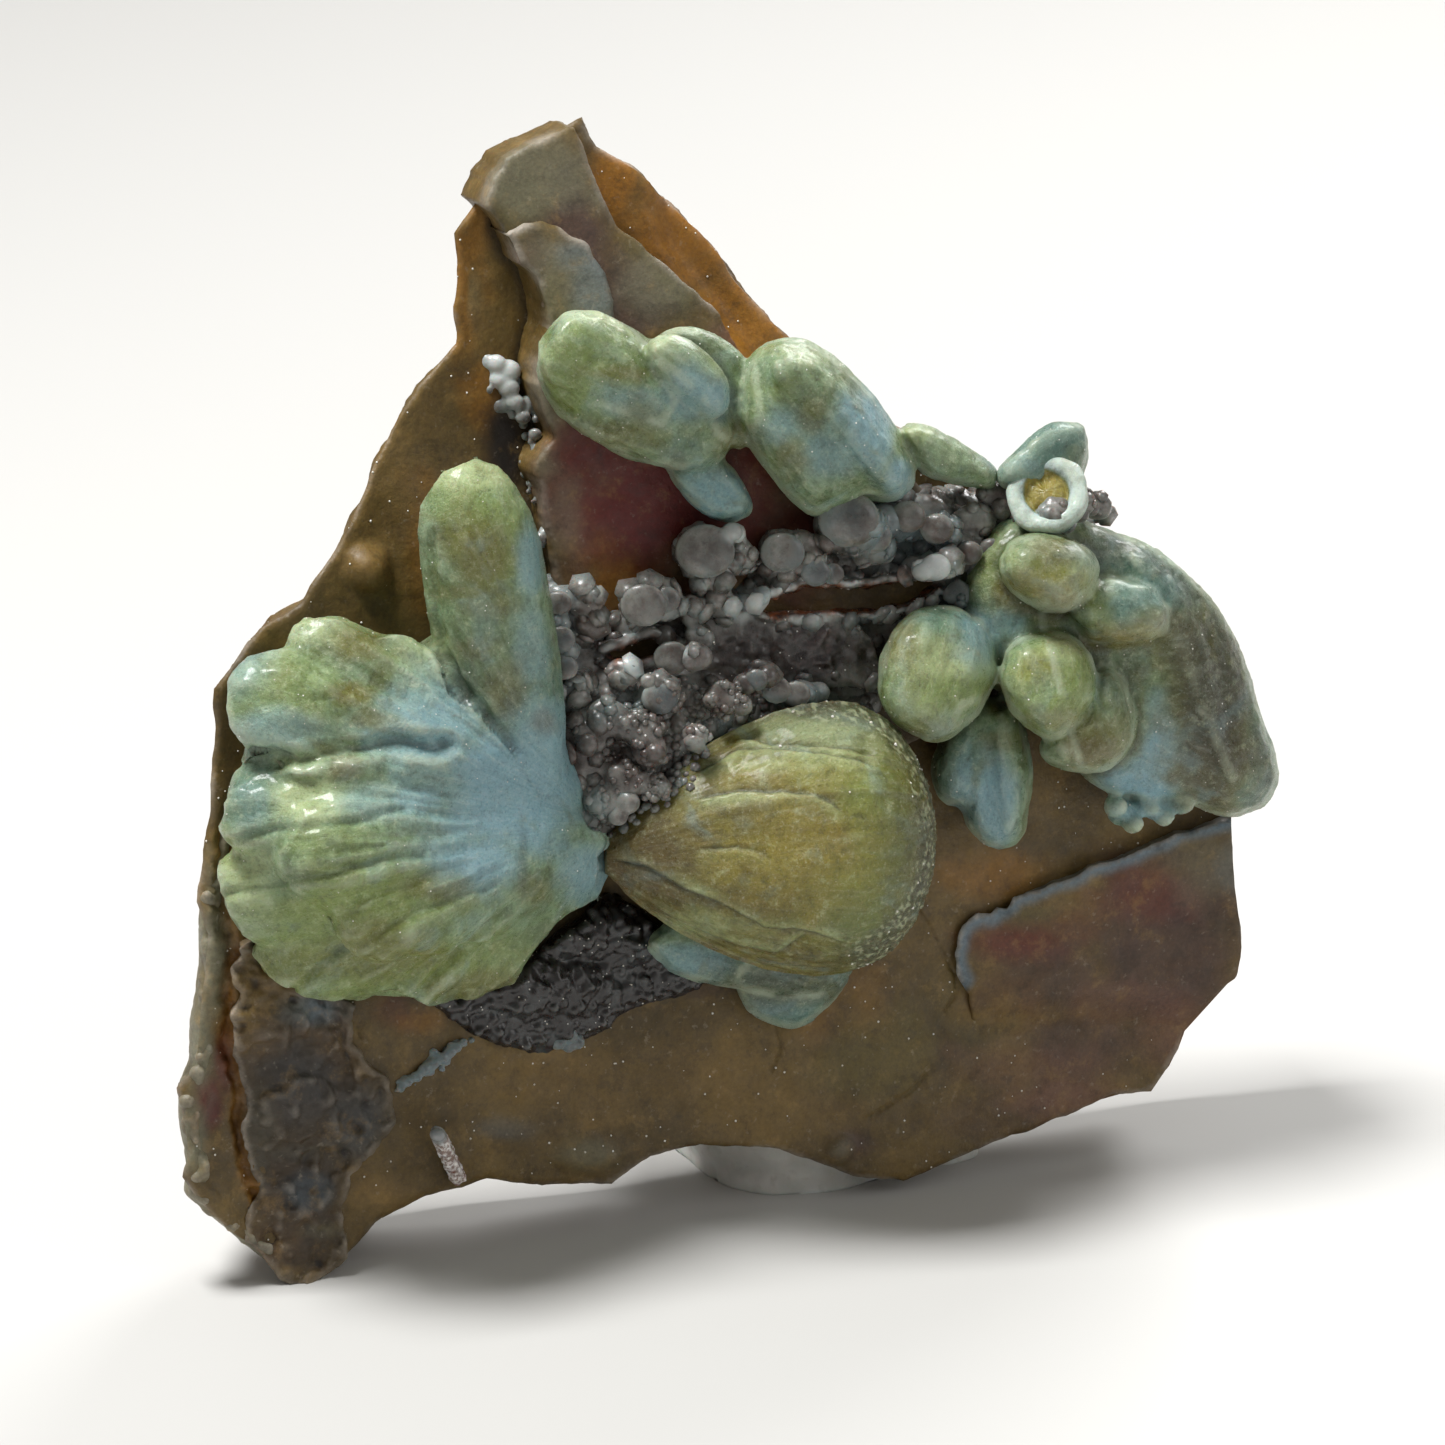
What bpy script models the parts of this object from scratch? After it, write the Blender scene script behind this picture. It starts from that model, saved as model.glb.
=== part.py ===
"""A plumbogummite specimen, pseudomorph after pyromorphite: barrel crystals and a fan of them on a
thin plate of matrix, with a botryoidal grey crust between, standing on a lump of white putty.

Blender, metres, +Z up. The plate's face looks to -Y. Places are given in millimetres as the face is
looked at, a little from the left and from above: across, up, and out from the plate's mean face.
"""

import math
from typing import NamedTuple

import bmesh
import bpy
from mathutils import Vector

MM = 0.001

# The line of sight in which places are given, and the plate's lean backwards.
TURN = math.radians(22)
RISE = math.radians(19)
LEAN = math.radians(6)

# The putty's middle, across and up on the plate's face, is above the origin.
PUTTY_ACROSS = 6.0
PUTTY_BEHIND = 6.7
PUTTY_HALF = (6.2, 5.5, 6.2)
PUTTY_MIDDLE_HEIGHT = 1.5
PUTTY_SQUARENESS = 2.8

TIP = (-17.4, 0.0)
TIP_WORN = 0.25
CLEARANCE = 0.3
GROWN = 1.03

PLATE_THIN = 3.7
PLATE_THICK = 5.0
PLATE_CELL = 2.5
PLATE_REACH = (-26.0, 26.0, -3.0, 50.0)
PRISM_REACH = 9.0
EDGE_DRAFT = 0.07

BARREL_SIDES = 10
BARREL_RINGS = 6
GREAT_RADIUS = 2.7
GREAT_RINGS = 8
HEXAGON_SHARE = 0.55

ACROSS = Vector((math.cos(TURN), -math.sin(TURN), 0))
UPWARD = Vector((math.sin(RISE) * math.sin(TURN), math.sin(RISE) * math.cos(TURN), math.cos(RISE)))
TOWARDS = ACROSS.cross(UPWARD)
OUT = Vector((0, -math.cos(LEAN), math.sin(LEAN)))
# The broken edge runs back square to the across direction, so it shows no side.
EDGE = (OUT - ACROSS * OUT.dot(ACROSS)) / (1 - OUT.dot(ACROSS) ** 2)

# The plate's broken outline, clockwise from the lower left tip.
PLATE_OUTLINE = (
    TIP,
    (-18.4, 0.3),
    (-19.5, 1.7),
    (-21.6, 3.6),
    (-22.2, 4.5),
    (-21.9, 5.5),
    (-22.3, 8.1),
    (-21.5, 9.1),
    (-21.2, 11.8),
    (-20.9, 14.4),
    (-21.4, 15.6),
    (-20.9, 19.0),
    (-20.7, 23.9),
    (-18.9, 26.2),
    (-17.4, 27.2),
    (-15.6, 30.0),
    (-14.4, 32.8),
    (-12.8, 35.5),
    (-11.3, 37.2),
    (-11.3, 41.5),
    (-10.2, 43.2),
    (-9.0, 45.1),
    (-7.4, 45.7),
    (-6.3, 46.2),
    (-5.7, 45.1),
    (-3.6, 43.8),
    (-0.9, 41.0),
    (1.2, 38.4),
    (5.8, 34.6),
    (12.4, 31.6),
    (17.2, 28.0),
    (20.0, 22.6),
    (20.3, 18.0),
    (20.6, 13.4),
    (20.4, 12.2),
    (18.8, 11.0),
    (18.2, 8.9),
    (17.0, 7.2),
    (15.4, 7.2),
    (12.0, 5.7),
    (9.6, 5.1),
    (6.7, 3.9),
    (4.6, 4.2),
    (1.6, 5.3),
    (-1.6, 5.6),
    (-3.6, 5.0),
    (-5.2, 3.9),
    (-8.0, 3.7),
    (-10.2, 4.0),
    (-12.6, 3.4),
    (-14.6, 2.4),
    (-16.1, 0.8),
)

# The upper layer of the plate, which breaks off in a ledge along its left side.
UPPER_LAYER = (
    (-10.0, 42.6),
    (-12.0, 44.4),
    (-8.0, 48.4),
    (-5.4, 47.6),
    (-5.4, 44.2),
    (-4.6, 41.9),
    (-3.0, 40.3),
    (-0.2, 38.0),
    (4.0, 34.2),
    (8.6, 30.6),
    (10.4, 27.2),
    (8.8, 23.6),
    (5.2, 23.4),
    (0.8, 22.2),
    (-4.0, 19.6),
    (-7.2, 22.0),
    (-7.4, 27.4),
    (-7.7, 31.6),
    (-8.5, 33.0),
    (-8.2, 34.6),
    (-10.0, 36.4),
    (-8.1, 38.2),
    (-8.0, 39.6),
    (-8.9, 41.2),
)

# A thin grey tongue that lies over the upper layer.
TONGUE = (
    (-9.4, 41.7),
    (-7.0, 42.0),
    (-5.9, 40.7),
    (-5.3, 39.0),
    (-5.5, 37.4),
    (-7.9, 37.4),
    (-7.9, 39.4),
    (-8.7, 40.9),
)

# The low red shelf at the lower right, and the dark crust at the lower left.
RED_SHELF = (
    (8.8, 12.6),
    (9.1, 14.7),
    (11.0, 15.5),
    (14.0, 16.9),
    (16.8, 17.8),
    (22.1, 18.2),
    (22.3, 13.0),
    (20.7, 10.6),
    (19.4, 7.4),
    (16.4, 5.8),
    (12.4, 8.8),
)
DARK_CRUST = (
    (-17.0, -1.6),
    (-20.4, 0.2),
    (-23.4, 3.0),
    (-23.8, 7.4),
    (-23.2, 12.8),
    (-16.6, 12.4),
    (-13.6, 11.6),
    (-12.4, 9.2),
    (-12.8, 6.6),
    (-14.2, 4.6),
    (-14.4, 0.6),
)


class Barrel(NamedTuple):
    """A crystal from its foot to its tip: its radius, how narrow it is at the foot, how deep against
    its width, and the shares of its length in which it flares and in which its end rounds off."""

    foot: tuple
    tip: tuple
    radius: float
    foot_share: float = 0.45
    depth_share: float = 0.9
    flare: float = 0.8
    dome: float = 0.32


FAN_LOBES = (
    Barrel((-5.0, 18.4, 0.8), (-17.6, 18.6, 2.2), 4.6, 0.55, 0.55),
    Barrel((-6.6, 19.6, 1.6), (-20.0, 23.7, 3.2), 2.8, 0.5),
    Barrel((-6.8, 20.0, 1.6), (-17.4, 26.4, 2.6), 2.0, 0.6),
    Barrel((-7.0, 20.6, 1.6), (-13.6, 25.2, 2.2), 1.7, 0.7),
    Barrel((-7.0, 19.4, 2.2), (-14.6, 22.4, 4.4), 2.3, 0.6),
    Barrel((-8.8, 19.2, 3.0), (-17.6, 21.2, 4.9), 1.5, 0.7),
    Barrel((-7.0, 18.5, 2.0), (-20.3, 19.2, 3.8), 2.5, 0.5),
    Barrel((-7.0, 17.7, 1.8), (-20.6, 15.9, 3.0), 2.6, 0.5),
    Barrel((-6.8, 16.9, 1.8), (-19.0, 12.9, 2.4), 2.4, 0.6),
    Barrel((-6.4, 16.3, 1.6), (-15.8, 11.8, 2.2), 2.3, 0.6),
    Barrel((-6.0, 16.5, 1.4), (-11.6, 11.9, 2.2), 2.2, 0.7),
    Barrel((-5.6, 17.0, 1.4), (-9.2, 13.4, 2.0), 1.8, 0.8),
    Barrel((-6.6, 18.0, 2.8), (-18.0, 17.4, 5.8), 2.5, 0.6),
    Barrel((-6.2, 17.2, 2.6), (-15.6, 14.8, 6.0), 2.4, 0.6),
)
FINGER = Barrel((-8.4, 18.4, 2.2), (-10.9, 33.2, 3.8), 2.75, 0.6, 0.9, 0.62, 0.24)
GOLDEN = Barrel((-5.4, 17.2, 2.6), (7.7, 18.3, 4.8), 5.45, 0.12, 0.74, 0.7, 0.34)
LENS = (
    Barrel((-3.8, 14.3, 0.8), (4.7, 12.2, 1.4), 1.7, 0.6),
    Barrel((-1.8, 12.7, 0.6), (3.7, 10.4, 1.0), 1.3, 0.7),
)
UPPER_BARRELS = (
    Barrel((-0.4, 33.5, 2.4), (-8.1, 38.2, 3.2), 1.7, 0.8),
    Barrel((-0.2, 32.4, 2.4), (-8.0, 36.0, 3.2), 1.9, 0.7),
    Barrel((-4.0, 37.8, 3.8), (-0.2, 34.8, 4.6), 1.2, 0.8),
    Barrel((-3.4, 37.4, 2.4), (0.6, 35.6, 2.4), 1.5, 0.8),
    Barrel((-3.0, 33.4, 2.2), (0.4, 30.8, 2.8), 0.95, 0.9),
    Barrel((6.2, 31.2, 2.2), (0.6, 37.6, 3.2), 2.6, 0.7),
    Barrel((2.0, 36.2, 4.2), (6.7, 31.2, 4.4), 1.3, 0.7),
    Barrel((4.2, 30.9, 2.0), (-0.2, 35.4, 2.8), 1.6, 0.8),
    Barrel((2.6, 31.0, 1.6), (-0.6, 33.8, 2.0), 1.4, 0.8),
    Barrel((10.0, 31.7, 1.6), (5.9, 34.4, 1.8), 1.4, 0.6),
)
RIGHT_CLUSTER = (
    Barrel((13.0, 24.6, 1.2), (19.4, 23.2, 1.8), 3.9, 0.8, 0.5),
    Barrel((13.6, 25.9, 1.6), (15.4, 30.6, 2.2), 2.0, 0.8),
    Barrel((13.8, 25.7, 1.6), (18.6, 28.3, 2.6), 2.3, 0.6),
    Barrel((13.6, 25.5, 1.6), (20.6, 25.1, 2.8), 2.3, 0.7),
    Barrel((13.4, 25.1, 1.6), (21.2, 22.3, 2.8), 2.2, 0.7),
    Barrel((13.2, 24.7, 1.6), (22.2, 19.9, 2.8), 2.0, 0.8),
    Barrel((13.0, 24.3, 1.6), (20.4, 18.4, 2.4), 1.9, 0.8),
    Barrel((12.6, 24.1, 1.6), (17.0, 19.4, 1.6), 1.9, 0.9),
    Barrel((10.2, 31.3, 2.0), (14.2, 34.6, 2.4), 1.4, 0.7),
    Barrel((12.8, 30.4, 1.6), (12.2, 32.1, 5.2), 1.45, 1.0, 1.0, 1.0, 0.1),
    Barrel((13.2, 29.2, 1.6), (12.8, 30.7, 4.6), 1.0, 1.0, 1.0, 1.0, 0.5),
    Barrel((10.8, 28.9, 2.6), (14.6, 27.6, 6.4), 1.75, 0.9),
    Barrel((13.2, 27.5, 2.6), (17.7, 27.4, 5.2), 1.75, 0.9),
    Barrel((9.4, 27.8, 2.4), (7.9, 21.4, 5.4), 2.75, 0.8),
    Barrel((12.0, 27.7, 2.8), (12.9, 21.8, 6.2), 2.15, 0.8),
    Barrel((12.8, 25.9, 2.4), (14.8, 20.3, 4.4), 2.0, 0.8),
    Barrel((9.2, 24.6, 1.8), (10.9, 17.1, 2.6), 1.85, 0.8),
    Barrel((8.0, 23.6, 1.8), (8.7, 18.4, 2.4), 1.5, 0.9),
)

# The grey crust's lumps: across, up, out and radius.
CRUST_LUMPS = (
    (-4.4, 20.2, 1.9, 1.3),
    (-2.8, 20.8, 2.1, 1.4),
    (-5.0, 22.0, 1.8, 1.5),
    (-2.4, 22.6, 2.2, 1.6),
    (-5.3, 23.8, 1.7, 1.5),
    (-3.8, 24.8, 2.0, 1.7),
    (-0.6, 23.8, 2.1, 1.5),
    (1.3, 24.4, 1.8, 1.3),
    (-1.2, 25.8, 1.9, 1.5),
    (1.6, 26.4, 1.6, 1.3),
    (-3.0, 27.0, 1.8, 1.4),
    (-6.6, 27.2, 1.5, 1.3),
    (-6.6, 25.2, 1.5, 1.3),
    (-1.0, 28.8, 1.5, 1.4),
    (1.5, 29.4, 1.5, 1.2),
    (4.4, 30.3, 1.7, 1.6),
    (6.0, 29.8, 1.7, 1.4),
    (7.8, 30.4, 1.7, 1.4),
)
CRUST_SHEET = (
    (-5.6, 18.6),
    (-6.4, 22.0),
    (-8.2, 24.6),
    (-7.8, 28.4),
    (-5.0, 28.4),
    (-2.4, 29.4),
    (1.0, 30.8),
    (6.0, 31.2),
    (10.4, 31.4),
    (10.6, 28.2),
    (7.0, 25.4),
    (3.4, 25.4),
    (2.8, 23.4),
    (-0.6, 22.0),
    (-1.6, 19.4),
)
CRUST_RIB = Barrel((0.4, 27.6, 1.6), (9.0, 28.6, 2.0), 0.9, 1.0, 2.2, 1.0, 0.1)

# The dark druse under the fan, fused to the plate.
DRUSE_LUMPS = (
    (-6.4, 14.2, 0.0, 1.5),
    (-7.6, 12.4, 0.0, 1.3),
    (-6.6, 10.6, -0.1, 1.1),
    (-4.2, 14.0, -0.1, 1.3),
    (-9.6, 11.2, -0.2, 1.1),
    (-11.4, 10.6, -0.3, 1.0),
)
NEEDLE = Barrel((-11.3, 4.2, -0.2), (-12.2, 6.4, 1.6), 0.45, 1.0, 1.0, 1.0, 0.2)

COLOURS = {
    "matrix_plate": (0.26, 0.16, 0.07),
    "grey_crust": (0.2, 0.18, 0.18),
    "fan_spray": (0.33, 0.42, 0.33),
    "golden_barrel": (0.4, 0.38, 0.14),
    "lens_crystal": (0.22, 0.3, 0.26),
    "upper_cluster": (0.34, 0.4, 0.27),
    "right_cluster": (0.26, 0.33, 0.2),
    "clear_needle": (0.6, 0.5, 0.45),
    "putty_foot": (0.8, 0.8, 0.78),
}
ROUGHNESS = {"grey_crust": 0.45, "clear_needle": 0.2, "putty_foot": 0.6}
DEFAULT_ROUGHNESS = 0.5


def smooth(low, high, value):
    """0 below low, 1 above high, and a smooth rise between them."""
    share = min(1.0, max(0.0, (value - low) / (high - low)))
    return share * share * (3 - 2 * share)


def face_point(across, up, out):
    """The point that shows at (across, up) and lies out from the plate's mean face."""
    flat = ACROSS * across + UPWARD * up
    return (flat + TOWARDS * ((out - flat.dot(OUT)) / TOWARDS.dot(OUT))) * MM


def origin_point():
    """The middle of the putty's underside, level with the worn tip."""
    middle = face_point(PUTTY_ACROSS, 0, 0)
    tip = face_point(*TIP, 0)
    return Vector((middle.x, PUTTY_BEHIND * MM, tip.z + TIP_WORN * MM))


ORIGIN = origin_point()


def place(across, up, out):
    """A point of the specimen in the row frame."""
    return face_point(across, up, out) - ORIGIN


def base_height(across, up):
    """The front of the plate's base, out from its mean face: it falls back at the upper left."""
    roll = 0.35 * math.sin(0.23 * across + 0.6) + 0.25 * math.sin(0.31 * up + 0.12 * across)
    behind = 1.2 * smooth(24, 34, up) * smooth(2, -6, across)
    right_slope = 0.9 * smooth(-4.5, 1.5, across) * smooth(34, 40, up)
    return roll - behind - right_slope


def upper_height(across, up):
    """The front of the upper layer: it bulges in the middle and thins to the peak."""
    return 0.75 + 0.3 * math.sin(0.3 * across + 0.25 * up) - 1.1 * smooth(36, 46, up)


def plate_back(across, up):
    """The back of the plate: thick below and thin at the peak."""
    return -(PLATE_THIN + (PLATE_THICK - PLATE_THIN) * smooth(38, 12, up)) - 0.3 * math.sin(0.4 * across + up / 5)


def smooth_shading(mesh):
    mesh.shade_smooth()
    mesh.set_sharp_from_angle(angle=math.radians(38))


def new_object(name, mesh, collection):
    obj = bpy.data.objects.new(name, mesh)
    collection.objects.link(obj)
    return obj


def mesh_from(bm, name):
    bmesh.ops.recalc_face_normals(bm, faces=bm.faces)
    if bm.calc_volume(signed=True) < 0:
        bmesh.ops.reverse_faces(bm, faces=bm.faces)
    mesh = bpy.data.meshes.new(name)
    bm.to_mesh(mesh)
    bm.free()
    smooth_shading(mesh)
    return mesh


def sheet_block(name, front, back, reach, cell):
    """A closed block whose front and back follow two height functions of across and up."""
    left, right, low, high = reach
    columns = round((right - left) / cell)
    rows = round((high - low) / cell)
    bm = bmesh.new()
    for height in (front, back):
        made = bmesh.ops.create_grid(bm, x_segments=columns, y_segments=rows, size=0.5)
        for vert in made["verts"]:
            across = left + (vert.co.x + 0.5) * (right - left)
            up = low + (vert.co.y + 0.5) * (high - low)
            vert.co = place(across, up, 0) + OUT * height(across, up) * MM
    bmesh.ops.bridge_loops(bm, edges=[e for e in bm.edges if e.is_boundary])
    return mesh_from(bm, name)


def outline_prism(name, outline, grown=1.0, direction=OUT):
    """The outline as a prism through the plate, which narrows a little towards the back."""
    middle = [sum(point[axis] for point in outline) / len(outline) for axis in (0, 1)]
    bm = bmesh.new()
    rings = []
    for side in (-1, 1):
        scale = grown + EDGE_DRAFT * side
        run = direction * side * PRISM_REACH * MM
        spots = [[m + (value - m) * scale for value, m in zip(point, middle)] for point in outline]
        rings.append([bm.verts.new(place(*spot, 0) + run) for spot in spots])
        bm.faces.new(rings[-1])
    for this, following in zip(range(-1, len(outline) - 1), range(len(outline))):
        bm.faces.new([rings[0][this], rings[0][following], rings[1][following], rings[1][this]])
    return mesh_from(bm, name)


def hexagon(turn, share=HEXAGON_SHARE):
    """The radius of a rounded hexagon at this turn, between a circle and a true hexagon."""
    step = math.pi / 3
    off = turn % step - step / 2
    return 1 - share + share * math.cos(step / 2) / math.cos(off)


def barrel_mesh(name, shape, swell=0.0):
    """A crystal barrel, reshaped from a sphere whose poles are its foot and its tip."""
    foot, tip = place(*shape.foot), place(*shape.tip)
    axis = (tip - foot).normalized()
    foot -= axis * swell * MM
    tip += axis * swell * MM
    side = axis.cross(OUT)
    if side.length < 0.2:
        side = axis.cross(UPWARD)
    side.normalize()
    rise = side.cross(axis)
    bm = bmesh.new()
    rings = GREAT_RINGS if shape.radius >= GREAT_RADIUS else BARREL_RINGS
    bmesh.ops.create_uvsphere(bm, u_segments=BARREL_SIDES, v_segments=rings, radius=1)
    for vert in bm.verts:
        share = (1 - vert.co.z) / 2
        turn = math.atan2(vert.co.y, vert.co.x)
        at_pole = math.hypot(vert.co.x, vert.co.y) < 1e-4
        width = shape.foot_share + (1 - shape.foot_share) * (1 - (1 - min(share / shape.flare, 1)) ** 2)
        rounding = max(0.0, (share - 1 + shape.dome) / shape.dome)
        width *= math.sqrt(max(0.0, 1 - rounding**2.4))
        radius = 0 if at_pole else (shape.radius * width * hexagon(turn) + swell) * MM
        vert.co = (
            foot.lerp(tip, share)
            + side * radius * math.cos(turn)
            + rise * radius * math.sin(turn) * shape.depth_share
        )
    return mesh_from(bm, name)


def lump_mesh(name, across, up, out, radius, swell=0.0):
    bm = bmesh.new()
    bmesh.ops.create_icosphere(bm, subdivisions=1, radius=(radius + swell) * MM)
    bmesh.ops.translate(bm, verts=bm.verts, vec=place(across, up, out))
    return mesh_from(bm, name)


def helper_collection(name, parent):
    collection = bpy.data.collections.new(name)
    parent.children.link(collection)
    return collection


def helpers_of(name, meshes, parent):
    """Meshes as hidden helper objects in a collection of their own, for a Boolean."""
    collection = helper_collection(name, parent)
    for number, mesh in enumerate(meshes):
        hide(new_object(f"{name}_{number:02d}", mesh, collection))
    return collection


def boolean(obj, operation, operand):
    modifier = obj.modifiers.new(f"{operation.lower()} {operand.name}", "BOOLEAN")
    modifier.operation = operation
    if isinstance(operand, bpy.types.Collection):
        modifier.operand_type = "COLLECTION"
        modifier.collection = operand
    else:
        modifier.object = operand
    return modifier


def plate_layers(swell):
    """Each layer that lies on the plate's base: its block, cut to its outline, at this swelling."""

    def raised(height, by):
        return lambda across, up: height(across, up) + by + swell

    def sunk(by):
        return lambda across, up: base_height(across, up) - by

    def shelf_height(across, up):
        return base_height(across, up) + 1.0 * smooth(7, 12, across + 0.4 * (up - 10)) + swell

    rows = (
        ("upper", raised(upper_height, 0), sunk(0.8), UPPER_LAYER, (-12, 13, 17, 49), 2.0),
        ("tongue", raised(upper_height, 0.35), sunk(0.3), TONGUE, (-11, -3, 36, 44), 2.0),
        ("shelf", shelf_height, sunk(0.5), RED_SHELF, (7, 24, 4, 20), 2.0),
        ("dark", raised(base_height, 0.55), sunk(0.5), DARK_CRUST, (-26, -11, -3, 14), 2.0),
    )
    for name, front, back, outline, reach, cell in rows:
        yield name, sheet_block(f"{name}_block", front, back, reach, cell), outline


def hide(obj):
    obj.hide_render = True
    obj.display_type = "WIRE"


def plate_object(name, swell, grown, collection, helpers):
    """The whole plate in one solid: a block with its layers joined on, cut to the broken outline."""
    layers = helper_collection(f"{name}_layers", helpers)
    prisms = helper_collection(f"{name}_prisms", helpers)
    for part, block, outline in plate_layers(swell):
        piece = new_object(f"{name}_{part}", block, layers)
        cutter = new_object(f"{name}_{part}_prism", outline_prism(part, outline, grown), prisms)
        boolean(piece, "INTERSECT", cutter)
        hide(piece)
        hide(cutter)

    def front(across, up):
        return base_height(across, up) + swell

    def back(across, up):
        return plate_back(across, up) - swell

    plate = new_object(name, sheet_block(name, front, back, PLATE_REACH, PLATE_CELL), collection)
    boolean(plate, "UNION", layers)
    cutter = new_object(f"{name}_prism", outline_prism(name, PLATE_OUTLINE, grown, EDGE), prisms)
    hide(cutter)
    boolean(plate, "INTERSECT", cutter)
    return plate


def fused(name, meshes, collection, helpers):
    """One solid from several overlapping shapes."""
    obj = new_object(name, meshes[0], collection)
    if len(meshes) > 1:
        boolean(obj, "UNION", helpers_of(f"{name}_shapes", meshes[1:], helpers))
    return obj


def crust_object(collection, helpers):
    """The botryoidal crust: a thin sheet with its lumps and the rib of a broken plate on it."""

    def front(across, up):
        return upper_height(across, up) + 0.9

    sheet = sheet_block("grey_crust", front, base_height, (-10, 12, 17, 33), 2.2)
    crust = new_object("grey_crust", sheet, collection)
    cutter = new_object("crust_prism", outline_prism("crust_prism", CRUST_SHEET), helpers)
    hide(cutter)
    boolean(crust, "INTERSECT", cutter)
    shapes = [*lumps("crust", CRUST_LUMPS), barrel_mesh("crust_rib", CRUST_RIB)]
    boolean(crust, "UNION", helpers_of("crust_shapes", shapes, helpers))
    return crust


def putty_mesh():
    """A pressed lump, square-shouldered, that reaches below the ground until it is cut flat."""
    bm = bmesh.new()
    bmesh.ops.create_uvsphere(bm, u_segments=16, v_segments=10, radius=1)
    for vert in bm.verts:
        size = sum(abs(value) ** PUTTY_SQUARENESS for value in vert.co) ** (1 / PUTTY_SQUARENESS)
        square = vert.co / size
        dent = 1 - 0.1 * math.sin(3.1 * square.x + 1) - 0.06 * math.sin(5 * square.x + 2 * square.z)
        vert.co = Vector(
            (
                square.x * PUTTY_HALF[0],
                square.y * PUTTY_HALF[1] * dent,
                square.z * PUTTY_HALF[2] * (1 - 0.12 * square.x) + PUTTY_MIDDLE_HEIGHT,
            )
        ) * MM
    return mesh_from(bm, "putty_foot")


def ground_block(helpers):
    """Everything under the surface that the specimen stands on."""
    bm = bmesh.new()
    bmesh.ops.create_cube(bm, size=1)
    bmesh.ops.scale(bm, verts=bm.verts, vec=(0.2, 0.2, 0.02))
    bmesh.ops.translate(bm, verts=bm.verts, vec=(0, 0, -0.01))
    ground = new_object("ground", mesh_from(bm, "ground"), helpers)
    hide(ground)
    return ground


def material_for(name):
    material = bpy.data.materials.new(name)
    material.use_nodes = True
    shader = material.node_tree.nodes["Principled BSDF"]
    shader.inputs["Base Color"].default_value = (*COLOURS[name], 1)
    shader.inputs["Roughness"].default_value = ROUGHNESS.get(name, DEFAULT_ROUGHNESS)
    return material


def barrels(prefix, shapes, swell=0.0):
    return [barrel_mesh(f"{prefix}_{number:02d}", shape, swell) for number, shape in enumerate(shapes)]


def lumps(prefix, rows, swell=0.0):
    return [lump_mesh(f"{prefix}_{number:02d}", *row, swell) for number, row in enumerate(rows)]


def build():
    for obj in list(bpy.data.objects):
        bpy.data.objects.remove(obj, do_unlink=True)
    scene = bpy.context.scene.collection
    specimen = helper_collection("plumbogummite_specimen", scene)
    helpers = helper_collection("helpers", scene)
    ground = ground_block(helpers)

    plate = plate_object("matrix_plate", 0, 1, specimen, helpers)
    boolean(plate, "UNION", helpers_of("druse", lumps("druse", DRUSE_LUMPS), helpers))
    boolean(plate, "DIFFERENCE", ground)
    plate_room = plate_object("plate_room", CLEARANCE, GROWN, helpers, helpers)
    hide(plate_room)
    druse_room = helpers_of("druse_room", lumps("druse_room", DRUSE_LUMPS, CLEARANCE), helpers)

    fan_shapes = (*FAN_LOBES, FINGER)
    fan = fused("fan_spray", barrels("fan", fan_shapes), specimen, helpers)
    fan_room = helpers_of("fan_room", barrels("fan_room", fan_shapes, CLEARANCE), helpers)
    golden = fused("golden_barrel", barrels("golden", (GOLDEN,)), specimen, helpers)
    golden_room = helpers_of("golden_room", barrels("golden_room", (GOLDEN,), CLEARANCE), helpers)
    lens = fused("lens_crystal", barrels("lens", LENS), specimen, helpers)
    lens_room = helpers_of("lens_room", barrels("lens_room", LENS, CLEARANCE), helpers)
    upper = fused("upper_cluster", barrels("upper", UPPER_BARRELS), specimen, helpers)
    upper_room = helpers_of("upper_room", barrels("upper_room", UPPER_BARRELS, CLEARANCE), helpers)
    right = fused("right_cluster", barrels("right", RIGHT_CLUSTER), specimen, helpers)
    right_room = helpers_of("right_room", barrels("right_room", RIGHT_CLUSTER, CLEARANCE), helpers)
    crust = crust_object(specimen, helpers)
    needle = fused("clear_needle", barrels("needle", (NEEDLE,)), specimen, helpers)
    putty = fused("putty_foot", [putty_mesh()], specimen, helpers)

    for crystal in (fan, golden, lens, upper, right, crust, needle, putty):
        boolean(crystal, "DIFFERENCE", plate_room)
    for crystal in (fan, golden, lens):
        boolean(crystal, "DIFFERENCE", druse_room)
    boolean(golden, "DIFFERENCE", fan_room)
    boolean(lens, "DIFFERENCE", golden_room)
    boolean(lens, "DIFFERENCE", fan_room)
    boolean(right, "DIFFERENCE", upper_room)
    boolean(right, "DIFFERENCE", golden_room)
    for room in (fan_room, golden_room, upper_room, right_room):
        boolean(crust, "DIFFERENCE", room)
    boolean(putty, "DIFFERENCE", lens_room)
    boolean(putty, "DIFFERENCE", ground)

    for obj in specimen.objects:
        obj.data.materials.append(material_for(obj.name))


build()
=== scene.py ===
"""Looks for a plumbogummite specimen: waxy barrel crystals and a fibrous fan of them on a thin plate
of brown matrix with a grey grape-like crust, standing on a lump of white putty.

Shapes are made in millimetres as the face is looked at (across, up, and out from the plate's mean
face) and are turned into metres in the row frame when each piece is finished.
"""

import itertools
import math
from typing import NamedTuple

import bpy
import numpy as np
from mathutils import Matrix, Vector
from mathutils.geometry import delaunay_2d_cdt


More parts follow.
